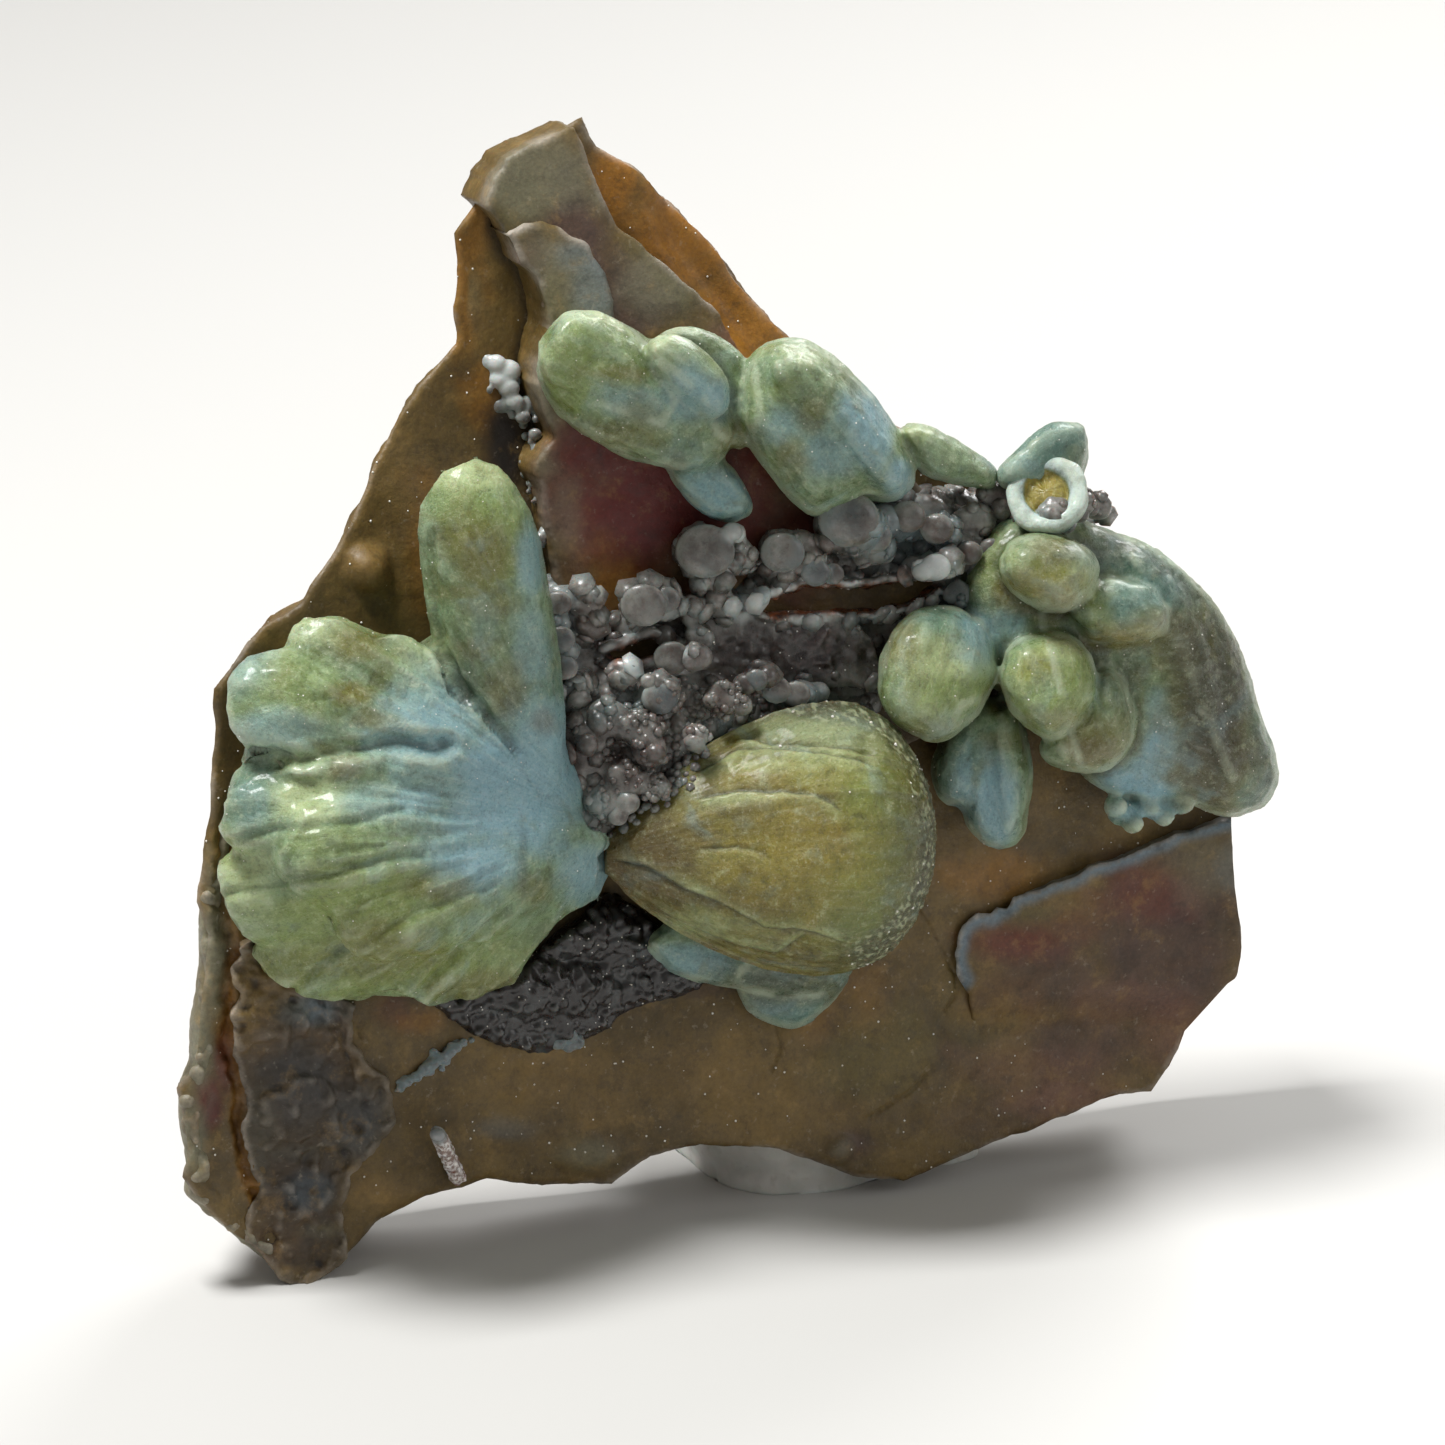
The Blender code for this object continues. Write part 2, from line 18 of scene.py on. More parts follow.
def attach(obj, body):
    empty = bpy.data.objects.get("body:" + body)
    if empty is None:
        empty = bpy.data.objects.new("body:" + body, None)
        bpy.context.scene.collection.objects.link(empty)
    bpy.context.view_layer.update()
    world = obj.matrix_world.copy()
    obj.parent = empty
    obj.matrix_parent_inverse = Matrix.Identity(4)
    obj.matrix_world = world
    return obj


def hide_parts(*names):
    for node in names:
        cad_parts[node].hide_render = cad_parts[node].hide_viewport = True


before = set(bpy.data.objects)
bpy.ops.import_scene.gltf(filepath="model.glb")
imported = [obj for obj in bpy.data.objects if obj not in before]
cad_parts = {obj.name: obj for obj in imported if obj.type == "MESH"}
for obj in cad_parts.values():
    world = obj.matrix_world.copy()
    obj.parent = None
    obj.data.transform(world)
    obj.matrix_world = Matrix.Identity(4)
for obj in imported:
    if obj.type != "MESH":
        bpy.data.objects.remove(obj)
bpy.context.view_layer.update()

MM = 0.001

# The line of sight in which places are given, the plate's lean, and the row's origin.
TURN = math.radians(22)
RISE = math.radians(19)
LEAN = math.radians(6)
PUTTY_ACROSS = 6.0
PUTTY_BEHIND = 6.7
TIP = (-17.4, 0.0)
TIP_WORN = 0.25

# Places seen in the photograph, in its frame's units: the point above the origin, the step in mm,
# and how many units the frame is wide.
FRAME_ZERO = (740, 1287)
FRAME_STEP = 0.04
FRAME_SIZE = 1445

ACROSS = np.array((math.cos(TURN), -math.sin(TURN), 0))
UPWARD = np.array((math.sin(RISE) * math.sin(TURN), math.sin(RISE) * math.cos(TURN), math.cos(RISE)))
TOWARDS = np.cross(ACROSS, UPWARD)
OUT = np.array((0, -math.cos(LEAN), math.sin(LEAN)))
EDGE = (OUT - ACROSS * (OUT @ ACROSS)) / (1 - (OUT @ ACROSS) ** 2)


# ---------------------------------------------------------------- places, noise and outlines


def face_point(across, up, out):
    flat = np.multiply.outer(across, ACROSS) + np.multiply.outer(up, UPWARD)
    return flat + np.multiply.outer((out - flat @ OUT) / (TOWARDS @ OUT), TOWARDS)


ORIGIN = np.array(
    (
        face_point(PUTTY_ACROSS, 0, 0)[0],
        PUTTY_BEHIND,
        face_point(*TIP, 0)[2] + TIP_WORN,
    )
)


def place(across, up, out=0):
    """A point of the specimen in the row frame, in millimetres."""
    return face_point(across, up, out) - ORIGIN


def looked_at(points):
    """(across, up, out) of points in the row frame."""
    spots = points + ORIGIN
    return np.stack((spots @ ACROSS, spots @ UPWARD, spots @ OUT), -1)


def seen(*pairs):
    """Places in the photograph's frame as (across, up)."""
    spots = np.array(pairs, float).reshape(-1, 2)
    return (spots - FRAME_ZERO) * (FRAME_STEP, -FRAME_STEP)


def seen_place(x, y, out):
    """A point seen in the photograph that lies out from the plate's mean face, in the row frame."""
    return place(*seen((x, y))[0], out)


def smooth(low, high, value):
    share = np.clip((value - low) / (high - low), 0, 1)
    return share * share * (3 - 2 * share)


def hashed(cells, seed):
    """A value from -1 to 1 for each cell of a lattice."""
    x, y, z = (cells[..., axis] for axis in range(3))
    mixed = (x * 73856093) ^ (y * 19349663) ^ (z * 83492791) ^ (seed * 2654435761)
    mixed = ((mixed ^ (mixed >> 13)) * 1274126177) & 0xFFFFFFFF
    return ((mixed ^ (mixed >> 16)) & 0xFFFF) / 32767.5 - 1


def wave(points, size, seed=0, octaves=1):
    """Smooth noise from about -1 to 1, whose largest bumps are size across."""
    spots = np.atleast_2d(points) / size
    if spots.shape[1] == 2:
        spots = np.column_stack((spots, np.full(len(spots), 0.37)))
    total = np.zeros(len(spots))
    strength, weight = 1.0, 0.0
    for octave in range(octaves):
        scaled = spots * 2**octave
        cells = np.floor(scaled).astype(np.int64)
        part = scaled - cells
        part = part * part * (3 - 2 * part)
        for corner in itertools.product((0, 1), repeat=3):
            share = np.prod(np.where(corner, part, 1 - part), axis=1)
            total += strength * share * hashed(cells + np.array(corner), seed * 31 + octave)
        weight += strength
        strength *= 0.5
    return total * 1.5 / weight


# How many spots are measured against a line at once.
BATCH = 4096


def line_distance(spots, line, closed=False):
    """How far each spot is from a line of points, and for a closed line less than 0 inside it."""
    starts = np.asarray(line, float)
    ends = np.roll(starts, -1, axis=0)
    if not closed:
        starts, ends = starts[:-1], ends[:-1]
    runs = ends - starts
    found = np.empty(len(spots))
    for first in range(0, len(spots), BATCH):
        some = spots[first : first + BATCH]
        reach = some[:, None] - starts
        share = np.clip((reach * runs).sum(-1) / (runs**2).sum(-1), 0, 1)
        gap = np.sqrt(((reach - share[..., None] * runs) ** 2).sum(-1)).min(1)
        if closed:
            spans = (starts[:, 1] > some[:, 1:]) != (ends[:, 1] > some[:, 1:])
            steps = np.where(runs[:, 1] == 0, 1, runs[:, 1])
            crossing = starts[:, 0] + runs[:, 0] * (some[:, 1:] - starts[:, 1]) / steps
            gap = np.where((spans & (some[:, :1] < crossing)).sum(1) % 2 == 1, -gap, gap)
        found[first : first + BATCH] = gap
    return found


def line_gap(spots, places, closed=False):
    """How far each spot is from a line of places in the photograph's frame."""
    return line_distance(spots, seen(*places), closed)


def roughened(outline, step, amount, size, seed):
    """A closed outline with points every step, moved in and out a little as a broken edge is."""
    corners = np.asarray(outline, float)
    following = np.roll(corners, -1, axis=0)
    points = []
    for start, end in zip(corners, following):
        count = max(1, round(np.linalg.norm(end - start) / step))
        points.extend(start + (end - start) * n / count for n in range(count))
    points = np.array(points)
    tangent = np.roll(points, -2, axis=0) - np.roll(points, 2, axis=0)
    tangent /= np.maximum(np.linalg.norm(tangent, axis=1, keepdims=True), 1e-9)
    normal = np.column_stack((-tangent[:, 1], tangent[:, 0]))
    shift = wave(points, size, seed, 4) * amount
    return points + normal * shift[:, None]


def nearest_on(spots, line):
    """The nearest place on a closed line to each spot."""
    starts = np.asarray(line, float)
    runs = np.roll(starts, -1, axis=0) - starts
    reach = spots[:, None] - starts
    share = np.clip((reach * runs).sum(-1) / (runs**2).sum(-1), 0, 1)[..., None]
    places = starts + share * runs
    best = ((places - spots[:, None]) ** 2).sum(-1).argmin(1)
    return places[np.arange(len(spots)), best]


def clipped(outline, border):
    """The outline with what lies outside the border drawn back to it."""
    beyond = line_distance(outline, border, closed=True) > -0.03
    moved = outline.copy()
    moved[beyond] = nearest_on(outline[beyond], border)
    kept = [moved[0]]
    for spot in moved[1:]:
        if np.linalg.norm(spot - kept[-1]) > 0.07 and np.linalg.norm(spot - kept[0]) > 0.07:
            kept.append(spot)
    return np.array(kept)


# The height of a triangle whose sides are 1.
ROW_SHARE = 0.866


def filled(outline, spacing, extra=()):
    """Triangles that fill an outline, as points, faces and the outline's own point numbers."""
    low, high = outline.min(0), outline.max(0)
    rows = np.arange(low[1], high[1], spacing * ROW_SHARE)
    columns = np.arange(low[0], high[0], spacing)
    spots = np.stack(np.meshgrid(columns, rows), -1)
    spots[1::2, :, 0] += spacing / 2
    spots = spots.reshape(-1, 2)
    spots += np.random.default_rng(5).uniform(-0.16, 0.16, spots.shape) * spacing
    coarse = outline[:: max(1, len(outline) // 120)]
    rough = line_distance(spots, coarse, closed=True)
    spots = spots[rough < 1.2]
    near = rough[rough < 1.2] > -1.4
    kept = ~near
    kept[near] = line_distance(spots[near], outline, closed=True) < -0.55 * spacing
    points = np.concatenate((outline, spots[kept], np.reshape(extra, (-1, 2))))
    count = len(outline)
    ring = [(number, (number + 1) % count) for number in range(count)]
    made = delaunay_2d_cdt([Vector(point) for point in points], ring, [], 1, 1e-5)
    number_of = {old: new for new, olds in enumerate(made[3]) for old in olds}
    return np.array([tuple(spot) for spot in made[0]]), np.array(made[2]), [number_of[n] for n in range(count)]


# ---------------------------------------------------------------- meshes


def new_mesh(name, points, *face_sets):
    mesh = bpy.data.meshes.new(name)
    face_sets = [np.asarray(faces) for faces in face_sets if len(faces)]
    sizes = np.concatenate([np.full(len(faces), faces.shape[1]) for faces in face_sets])
    corners = np.concatenate([faces.ravel() for faces in face_sets])
    mesh.vertices.add(len(points))
    mesh.loops.add(len(corners))
    mesh.polygons.add(len(sizes))
    mesh.vertices.foreach_set("co", np.asarray(points, np.float32).ravel())
    mesh.loops.foreach_set("vertex_index", corners.astype(np.int32))
    mesh.polygons.foreach_set("loop_start", np.concatenate(([0], np.cumsum(sizes)[:-1])).astype(np.int32))
    mesh.update(calc_edges=True)
    return mesh


def new_object(name, mesh):
    obj = bpy.data.objects.new(name, mesh)
    bpy.context.scene.collection.objects.link(obj)
    return obj


def applied(obj):
    """The object with its modifiers turned into plain mesh."""
    bpy.context.view_layer.update()
    graph = bpy.context.evaluated_depsgraph_get()
    mesh = bpy.data.meshes.new_from_object(obj.evaluated_get(graph))
    obj.modifiers.clear()
    obj.data = mesh
    return obj


def points_of(mesh):
    points = np.empty(len(mesh.vertices) * 3, np.float32)
    mesh.vertices.foreach_get("co", points)
    return points.reshape(-1, 3).astype(float)


def normals_of(mesh):
    normals = np.empty(len(mesh.vertices) * 3, np.float32)
    mesh.vertex_normals.foreach_get("vector", normals)
    return normals.reshape(-1, 3).astype(float)


def move_points(mesh, points):
    mesh.vertices.foreach_set("co", points.astype(np.float32).ravel())
    mesh.update()


def neighbour_mean(mesh, values, rounds=1):
    """The mean of the values of each point's neighbours."""
    ends = np.empty(len(mesh.edges) * 2, np.int32)
    mesh.edges.foreach_get("vertices", ends)
    first, second = ends.reshape(-1, 2).T
    number = len(mesh.vertices)
    degree = np.maximum(np.bincount(first, minlength=number) + np.bincount(second, minlength=number), 1)
    values = values.reshape(number, -1)
    for _ in range(rounds):
        sums = [
            np.bincount(first, column[second], number) + np.bincount(second, column[first], number)
            for column in values.T
        ]
        values = np.stack(sums, -1) / degree[:, None]
    return values


def webbed(obj, rounds, share=1.0):
    """Fills the creases between grown-together crystals and leaves their rounded tops alone."""
    mesh = obj.data
    for _ in range(rounds):
        points, normals = points_of(mesh), normals_of(mesh)
        hollow = ((neighbour_mean(mesh, points) - points) * normals).sum(1)
        move_points(mesh, points + normals * (np.maximum(hollow, 0) * 0.9 * share)[:, None])


def sharpness(mesh, reach=1):
    """How far each point stands proud of its neighbours: more than 0 on a rim, less in a groove."""
    points = points_of(mesh)
    mean = neighbour_mean(mesh, points, reach)
    proud = ((points - mean) * normals_of(mesh)).sum(1)
    return neighbour_mean(mesh, proud, 2)[:, 0]


def set_attribute(obj, name, values):
    values = np.asarray(values, np.float32)
    kind = "FLOAT_VECTOR" if values.ndim == 2 else "FLOAT"
    attribute = obj.data.attributes.new(name, kind, "POINT")
    attribute.data.foreach_set("vector" if values.ndim == 2 else "value", values.ravel())


def joined(shells):
    """Several (points, faces) shells of triangles or quads as one list of points and faces."""
    points, faces, count = [], {3: [], 4: []}, 0
    for shell_points, *face_sets in shells:
        points.append(shell_points)
        for face_set in face_sets:
            faces[face_set.shape[1]].append(face_set + count)
        count += len(shell_points)
    return np.concatenate(points), *(np.concatenate(found) for found in faces.values() if found)


def fused(name, shells, voxel, smoothing=2):
    """One closed skin around overlapping shells."""
    obj = new_object(name, new_mesh(name, *joined(shells)))
    remesh = obj.modifiers.new("one skin", "REMESH")
    remesh.mode = "VOXEL"
    remesh.voxel_size = voxel
    if smoothing:
        ease = obj.modifiers.new("ease", "SMOOTH")
        ease.factor = 0.5
        ease.iterations = smoothing
    return applied(obj)


def icosphere(level):
    """Points and faces of a unit icosphere."""
    ratio = (1 + math.sqrt(5)) / 2
    points = [(x, y * ratio, 0) for x in (-1, 1) for y in (-1, 1)]
    points += [(0, y, z * ratio) for y in (-1, 1) for z in (-1, 1)]
    points += [(x * ratio, 0, z) for x in (-1, 1) for z in (-1, 1)]
    points = np.array(points, float)
    gaps = np.linalg.norm(points[:, None] - points, axis=-1)
    near = (gaps < 2.1) & (gaps > 0)
    faces = [
        trio for trio in itertools.combinations(range(12), 3)
        if all(near[a, b] for a, b in itertools.combinations(trio, 2))
    ]
    faces = np.array(faces)
    for _ in range(level):
        middles, new_faces = {}, []
        points = list(map(tuple, points))
        for trio in faces:
            mids = []
            for a, b in ((trio[0], trio[1]), (trio[1], trio[2]), (trio[2], trio[0])):
                key = (min(a, b), max(a, b))
                if key not in middles:
                    middles[key] = len(points)
                    points.append(tuple((np.array(points[a]) + np.array(points[b])) / 2))
                mids.append(middles[key])
            a, b, c = trio
            new_faces += [(a, mids[0], mids[2]), (b, mids[1], mids[0]), (c, mids[2], mids[1]), tuple(mids)]
        points, faces = np.array(points), np.array(new_faces)
        points /= np.linalg.norm(points, axis=1, keepdims=True)
    points /= np.linalg.norm(points, axis=1, keepdims=True)
    corners = points[faces]
    inward = (np.cross(corners[:, 1] - corners[:, 0], corners[:, 2] - corners[:, 0]) * corners[:, 0]).sum(1) < 0
    faces[inward] = faces[inward][:, ::-1]
    return points, faces


BALL = icosphere(2)
SMALL_BALL = icosphere(1)


def ball(centre, radius, squash=(1, 1, 1), ball_of=None):
    """A ball at a place in millimetres, which may be flatter along the plate's out direction."""
    points, faces = ball_of or BALL
    sizes = np.asarray(squash, float)
    frame_axes = np.stack((ACROSS, np.cross(OUT, ACROSS), OUT))
    return centre + (points * radius * sizes) @ frame_axes, faces


def small_ball(spot, out, radius, squash=(1, 1, 1)):
    """A coarser ball at (across, up) and out from the plate's mean face."""
    return ball(place(*spot, out), radius, squash, SMALL_BALL)


# ---------------------------------------------------------------- finishes


def colour(code):
    """The linear colour of a hexadecimal one."""
    shares = [int(code[n : n + 2], 16) / 255 for n in (0, 2, 4)]
    return (*(s / 12.92 if s <= 0.04045 else ((s + 0.055) / 1.055) ** 2.4 for s in shares), 1)


class Finish:
    """A material and the nodes that make it, in millimetres on the piece's Object coordinates."""

    def __init__(self, name):
        self.material = bpy.data.materials.new(name)
        self.material.use_nodes = True
        self.tree = self.material.node_tree
        self.shader = self.tree.nodes["Principled BSDF"]
        coordinates = self.node("ShaderNodeTexCoord")
        scaled = self.node("ShaderNodeVectorMath", operation="SCALE")
        scaled.inputs["Scale"].default_value = 1 / MM
        self.tree.links.new(coordinates.outputs["Object"], scaled.inputs[0])
        self.place = scaled.outputs[0]

    def node(self, kind, **settings):
        made = self.tree.nodes.new(kind)
        for key, value in settings.items():
            setattr(made, key, value)
        return made

    def feed(self, socket, value):
        if isinstance(value, bpy.types.NodeSocket):
            self.tree.links.new(value, socket)
        else:
            socket.default_value = value

    def noise(self, size, detail=3.0, roughness=0.55, distortion=0.0, at=None):
        made = self.node("ShaderNodeTexNoise")
        self.feed(made.inputs["Vector"], at or self.place)
        made.inputs["Scale"].default_value = 1 / size
        made.inputs["Detail"].default_value = detail
        made.inputs["Roughness"].default_value = roughness
        made.inputs["Distortion"].default_value = distortion
        return made.outputs["Fac"]

    def attribute(self, name, vector=False):
        made = self.node("ShaderNodeAttribute", attribute_name=name)
        return made.outputs["Vector" if vector else "Fac"]

    def span(self, value, low, high, to_low=0.0, to_high=1.0):
        made = self.node("ShaderNodeMapRange", interpolation_type="SMOOTHSTEP")
        self.feed(made.inputs["Value"], value)
        for key, number in zip(("From Min", "From Max", "To Min", "To Max"), (low, high, to_low, to_high)):
            made.inputs[key].default_value = number
        return made.outputs["Result"]

    def times(self, first, second):
        made = self.node("ShaderNodeMath", operation="MULTIPLY")
        self.feed(made.inputs[0], first)
        self.feed(made.inputs[1], second)
        return made.outputs[0]

    def mix(self, share, first, second):
        made = self.node("ShaderNodeMix", data_type="RGBA", clamp_factor=True)
        self.feed(made.inputs["Factor"], share)
        self.feed(made.inputs[6], colour(first) if isinstance(first, str) else first)
        self.feed(made.inputs[7], colour(second) if isinstance(second, str) else second)
        return made.outputs[2]

    def laid(self, base, found, low, high, strength, share, code):
        """A colour laid over the base where a noise goes from low to high."""
        return self.mix(self.span(found, low, high, 0.0, strength), base, self.mix(share, base, code))

    def bump(self, height, strength, distance, under=None):
        made = self.node("ShaderNodeBump")
        made.inputs["Strength"].default_value = strength
        made.inputs["Distance"].default_value = distance * MM
        self.feed(made.inputs["Height"], height)
        if under:
            self.feed(made.inputs["Normal"], under)
        return made.outputs["Normal"]

    def finish(self, base, roughness, normal, **constants):
        self.feed(self.shader.inputs["Base Color"], base)
        self.feed(self.shader.inputs["Roughness"], roughness)
        self.feed(self.shader.inputs["Normal"], normal)
        for key, value in constants.items():
            self.shader.inputs[key.replace("_", " ")].default_value = value
        return self.material


def tinted(made, base, tints):
    """Each tint's colour laid over the base where the piece's attribute of that name is high."""
    for name, code in tints:
        base = made.mix(made.attribute(name), base, code)
    return base


def stone_finish():
    """Fine-grained stone: mottled in patches, speckled finely, with a dull waxy sheen."""
    made = Finish("brown matrix")
    broad = made.span(made.noise(3.6, 5, 0.6), 0.32, 0.68)
    base = tinted(made, made.mix(broad, "50401f", "705a2c"), STONE_TINTS)
    blotch = made.noise(1.1, 6, 0.7)
    base = made.laid(base, blotch, 0.48, 0.32, 0.7, 0.5, "1c130a")
    base = made.laid(base, blotch, 0.52, 0.7, 0.6, 0.35, "b08c4e")
    fine = made.noise(0.17, 4, 0.7)
    base = made.laid(base, fine, 0.3, 0.75, 0.55, 0.55, "1a1410")
    base = made.laid(base, made.noise(0.32, 3, 0.6), 0.6, 0.78, 0.4, 0.4, "c9bda8")
    rough = made.span(made.noise(0.6, 4), 0.3, 0.7, 0.42, 0.62)
    relief = made.bump(made.noise(0.22, 6, 0.65), 0.55, 0.06)
    relief = made.bump(made.noise(0.9, 4), 0.4, 0.12, relief)
    return made.finish(base, rough, relief, Specular_IOR_Level=0.45, Subsurface_Weight=0.05, Subsurface_Scale=0.0006)


def wax_finish(name, dark, light, rim="c3cfb4", streak=0.55, coat=0.25):
    """Waxy, slightly clear crystal: mottled, streaked along its fibres, sugary, with painted highlights on its rims
    and painted shade in its grooves.
    """
    made = Finish(name)
    along = made.attribute("grain", vector=True)
    mottle = made.span(made.noise(1.3, 6, 0.66, 0.5), 0.34, 0.66)
    base = tinted(made, made.mix(mottle, dark, light), WAX_TINTS)
    fibres = made.noise(0.34, 7, 0.75, at=along)
    base = made.laid(base, fibres, 0.45, 0.75, streak, 0.3, "dfe6da")
    base = made.laid(base, fibres, 0.5, 0.25, streak, 0.4, "2a2d1c")
    cloud = made.noise(2.6, 4, 0.6, 0.8)
    base = made.laid(base, cloud, 0.52, 0.7, 0.45, 0.6, "8fb0b4")
    base = made.laid(base, cloud, 0.46, 0.3, 0.6, 0.6, "6f6c22")
    sugar = made.noise(0.55, 7, 0.78)
    calm = made.span(made.attribute("blue"), 0.2, 1.0, 1.0, 0.3)
    base = made.mix(made.times(made.span(sugar, 0.5, 0.34), calm), base, made.mix(0.38, base, "1c2408"))
    base = made.mix(made.times(made.span(sugar, 0.52, 0.7, 0.0, 0.8), calm), base, made.mix(0.32, base, "e8f0c8"))
    grainy = made.noise(0.14, 5, 0.75)
    base = made.laid(base, grainy, 0.5, 0.3, 0.7, 0.5, "24261a")
    base = made.laid(base, grainy, 0.54, 0.74, 0.6, 0.5, "e9edda")
    # Painted shade in the grooves, then a painted highlight on the rims.
    base = made.mix(made.attribute("groove"), base, made.mix(0.7, base, "1d2014"))
    base = made.mix(made.attribute("rim"), base, rim)
    rough = made.span(made.noise(0.2, 5, 0.7), 0.3, 0.7, 0.24, 0.46)
    relief = made.bump(fibres, 0.8 * streak, 0.14)
    relief = made.bump(grainy, 0.8, 0.06, relief)
    relief = made.bump(sugar, 0.6, 0.16, relief)
    return made.finish(
        base, rough, relief,
        Subsurface_Weight=0.2, Subsurface_Scale=0.0007, Specular_IOR_Level=0.55, Coat_Weight=coat,
        Coat_Roughness=0.16,
    )


# ---------------------------------------------------------------- the plate's surfaces


def base_height(across, up):
    roll = 0.35 * np.sin(0.23 * across + 0.6) + 0.25 * np.sin(0.31 * up + 0.12 * across)
    behind = 1.2 * smooth(24, 34, up) * smooth(2, -6, across)
    right_slope = 0.9 * smooth(-4.5, 1.5, across) * smooth(34, 40, up)
    return roll - behind - right_slope


def upper_height(across, up):
    return 0.75 + 0.3 * np.sin(0.3 * across + 0.25 * up) - 1.1 * smooth(36, 46, up)


def plate_back(across, up):
    return -(3.7 + 1.3 * smooth(38, 12, up)) - 0.3 * np.sin(0.4 * across + up / 5)


def settle(obj, material, slot, *replaced):
    """Turns a finished piece from millimetres to metres, and gives it its finish and body; its slot is not used."""
    points = points_of(obj.data) * MM
    points[:, 2] = np.maximum(points[:, 2], 0)
    move_points(obj.data, points)
    obj.data.materials.clear()
    obj.data.materials.append(material)
    obj.data.polygons.foreach_set("use_smooth", np.ones(len(obj.data.polygons), bool))
    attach(obj, "root")
    if replaced:
        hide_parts(*replaced)
    return obj


COARSE_POINTS = 400


def slab(name, outline, front, back, spacing, rings, run=OUT, draft=0.0, crumble=0.15, back_spacing=0.6, extra=(),
    lip=0.12):
    """A closed sheet of stone between two heights over an outline, with a broken edge."""
    flat, faces, ring = filled(outline, spacing, extra)
    middle = outline.mean(0)
    coarse = outline[:: max(1, len(outline) // COARSE_POINTS)]
    near = np.abs(line_distance(flat, coarse, closed=True))
    near[ring] = 0
    lean = smooth(1.6, 0, near)[:, None]
    height = front(flat[:, 0], flat[:, 1]) - lip * smooth(0.28, 0, near) ** 2
    shift = (run - OUT) * height[:, None] * lean
    points = [place(flat[:, 0], flat[:, 1]) + OUT * height[:, None] + shift]
    sides = [np.zeros(len(flat))]
    spots = [flat]
    count = len(outline)
    tangent = np.roll(outline, -1, axis=0) - np.roll(outline, 1, axis=0)
    tangent /= np.maximum(np.linalg.norm(tangent, axis=1, keepdims=True), 1e-9)
    outward = np.column_stack((-tangent[:, 1], tangent[:, 0]))
    if ((outline - middle) * outward).sum() < 0:
        outward = -outward
    top = height[ring]
    bottom = back(outline[:, 0], outline[:, 1])
    previous = np.array(ring)
    wall = []
    start = len(flat)
    for number in range(1, rings + 1):
        share = number / rings
        depth = top + (bottom - top) * share
        scale = 1 - draft * (top - depth)
        spot = middle + (outline - middle) * scale[:, None]
        base = place(spot[:, 0], spot[:, 1]) + run * depth[:, None]
        ragged = wave(base, 1.3, 11, 4) * crumble * smooth(0, 0.25, share) * smooth(1.05, 0.8, share)
        layers = wave(np.column_stack((spot * 0.25, depth * 2.2)), 0.8, 17, 2)
        ragged += layers * crumble * 0.6 * smooth(0, 0.2, share)
        ragged -= crumble * 0.4 * smooth(0, 0.3, share)
        turn = outward[:, :1] * ACROSS + outward[:, 1:] * UPWARD
        points.append(base + turn * ragged[:, None])
        sides.append(np.full(count, min(1.0, 0.5 + share)))
        spots.append(spot)
        numbers = start + np.arange(count)
        wall.append(np.column_stack((previous, np.roll(previous, -1), np.roll(numbers, -1), numbers)))
        previous = numbers
        start += count
    rear, rear_faces, rear_ring = filled(outline, back_spacing)
    scale = 1 - draft * (front(rear[:, 0], rear[:, 1]) - back(rear[:, 0], rear[:, 1]))
    spot = middle + (rear - middle) * scale[:, None]
    rear_near = np.abs(line_distance(rear, coarse, closed=True))
    depth = back(rear[:, 0], rear[:, 1]) + wave(rear, 2.5, 23, 4) * 0.16 * smooth(0, 1.5, rear_near)
    rear_points = place(spot[:, 0], spot[:, 1]) + OUT * depth[:, None]
    rear_points = rear_points + (run - OUT) * depth[:, None] * smooth(2.5, 0, rear_near)[:, None]
    inner = np.ones(len(rear), bool)
    inner[rear_ring] = False
    renumber = np.empty(len(rear), int)
    renumber[inner] = start + np.arange(inner.sum())
    renumber[rear_ring] = previous
    points.append(rear_points[inner])
    sides.append(np.full(inner.sum(), 1.0))
    spots.append(spot[inner])
    corners = place(flat[faces, 0], flat[faces, 1])
    facing = np.cross(corners[:, 1] - corners[:, 0], corners[:, 2] - corners[:, 0]) @ OUT
    if facing.sum() < 0:
        faces = faces[:, ::-1]
    rear_corners = rear[rear_faces]
    flip = np.cross(rear_corners[:, 1] - rear_corners[:, 0], rear_corners[:, 2] - rear_corners[:, 0])
    front_corners = flat[faces]
    kept = np.cross(front_corners[:, 1] - front_corners[:, 0], front_corners[:, 2] - front_corners[:, 0])
    if np.sign(flip.sum()) == np.sign(kept.sum()):
        rear_faces = rear_faces[:, ::-1]
    wall = np.concatenate(wall)
    area = np.cross(outline, np.roll(outline, -1, axis=0)).sum()
    if np.sign(area) == np.sign(kept.sum()):
        wall = wall[:, ::-1]
    obj = new_object(name, new_mesh(name, np.concatenate(points), faces, wall, renumber[rear_faces]))
    return obj, np.concatenate(spots), np.concatenate(sides)


def blots(spots, rows, seed=5, ragged=0.45):
    """How much each spot lies in a stain: rows of x, y, half width, half height and strength."""
    total = np.zeros(len(spots))
    warp = 1 + ragged * wave(spots, 1.4, seed, 4)
    for x, y, wide, high, strength in rows:
        gap = (spots - seen((x, y))[0]) / (wide * FRAME_STEP, high * FRAME_STEP)
        total = np.maximum(total, strength * smooth(1.35, 0.35, np.hypot(*gap.T) * warp))
    return total


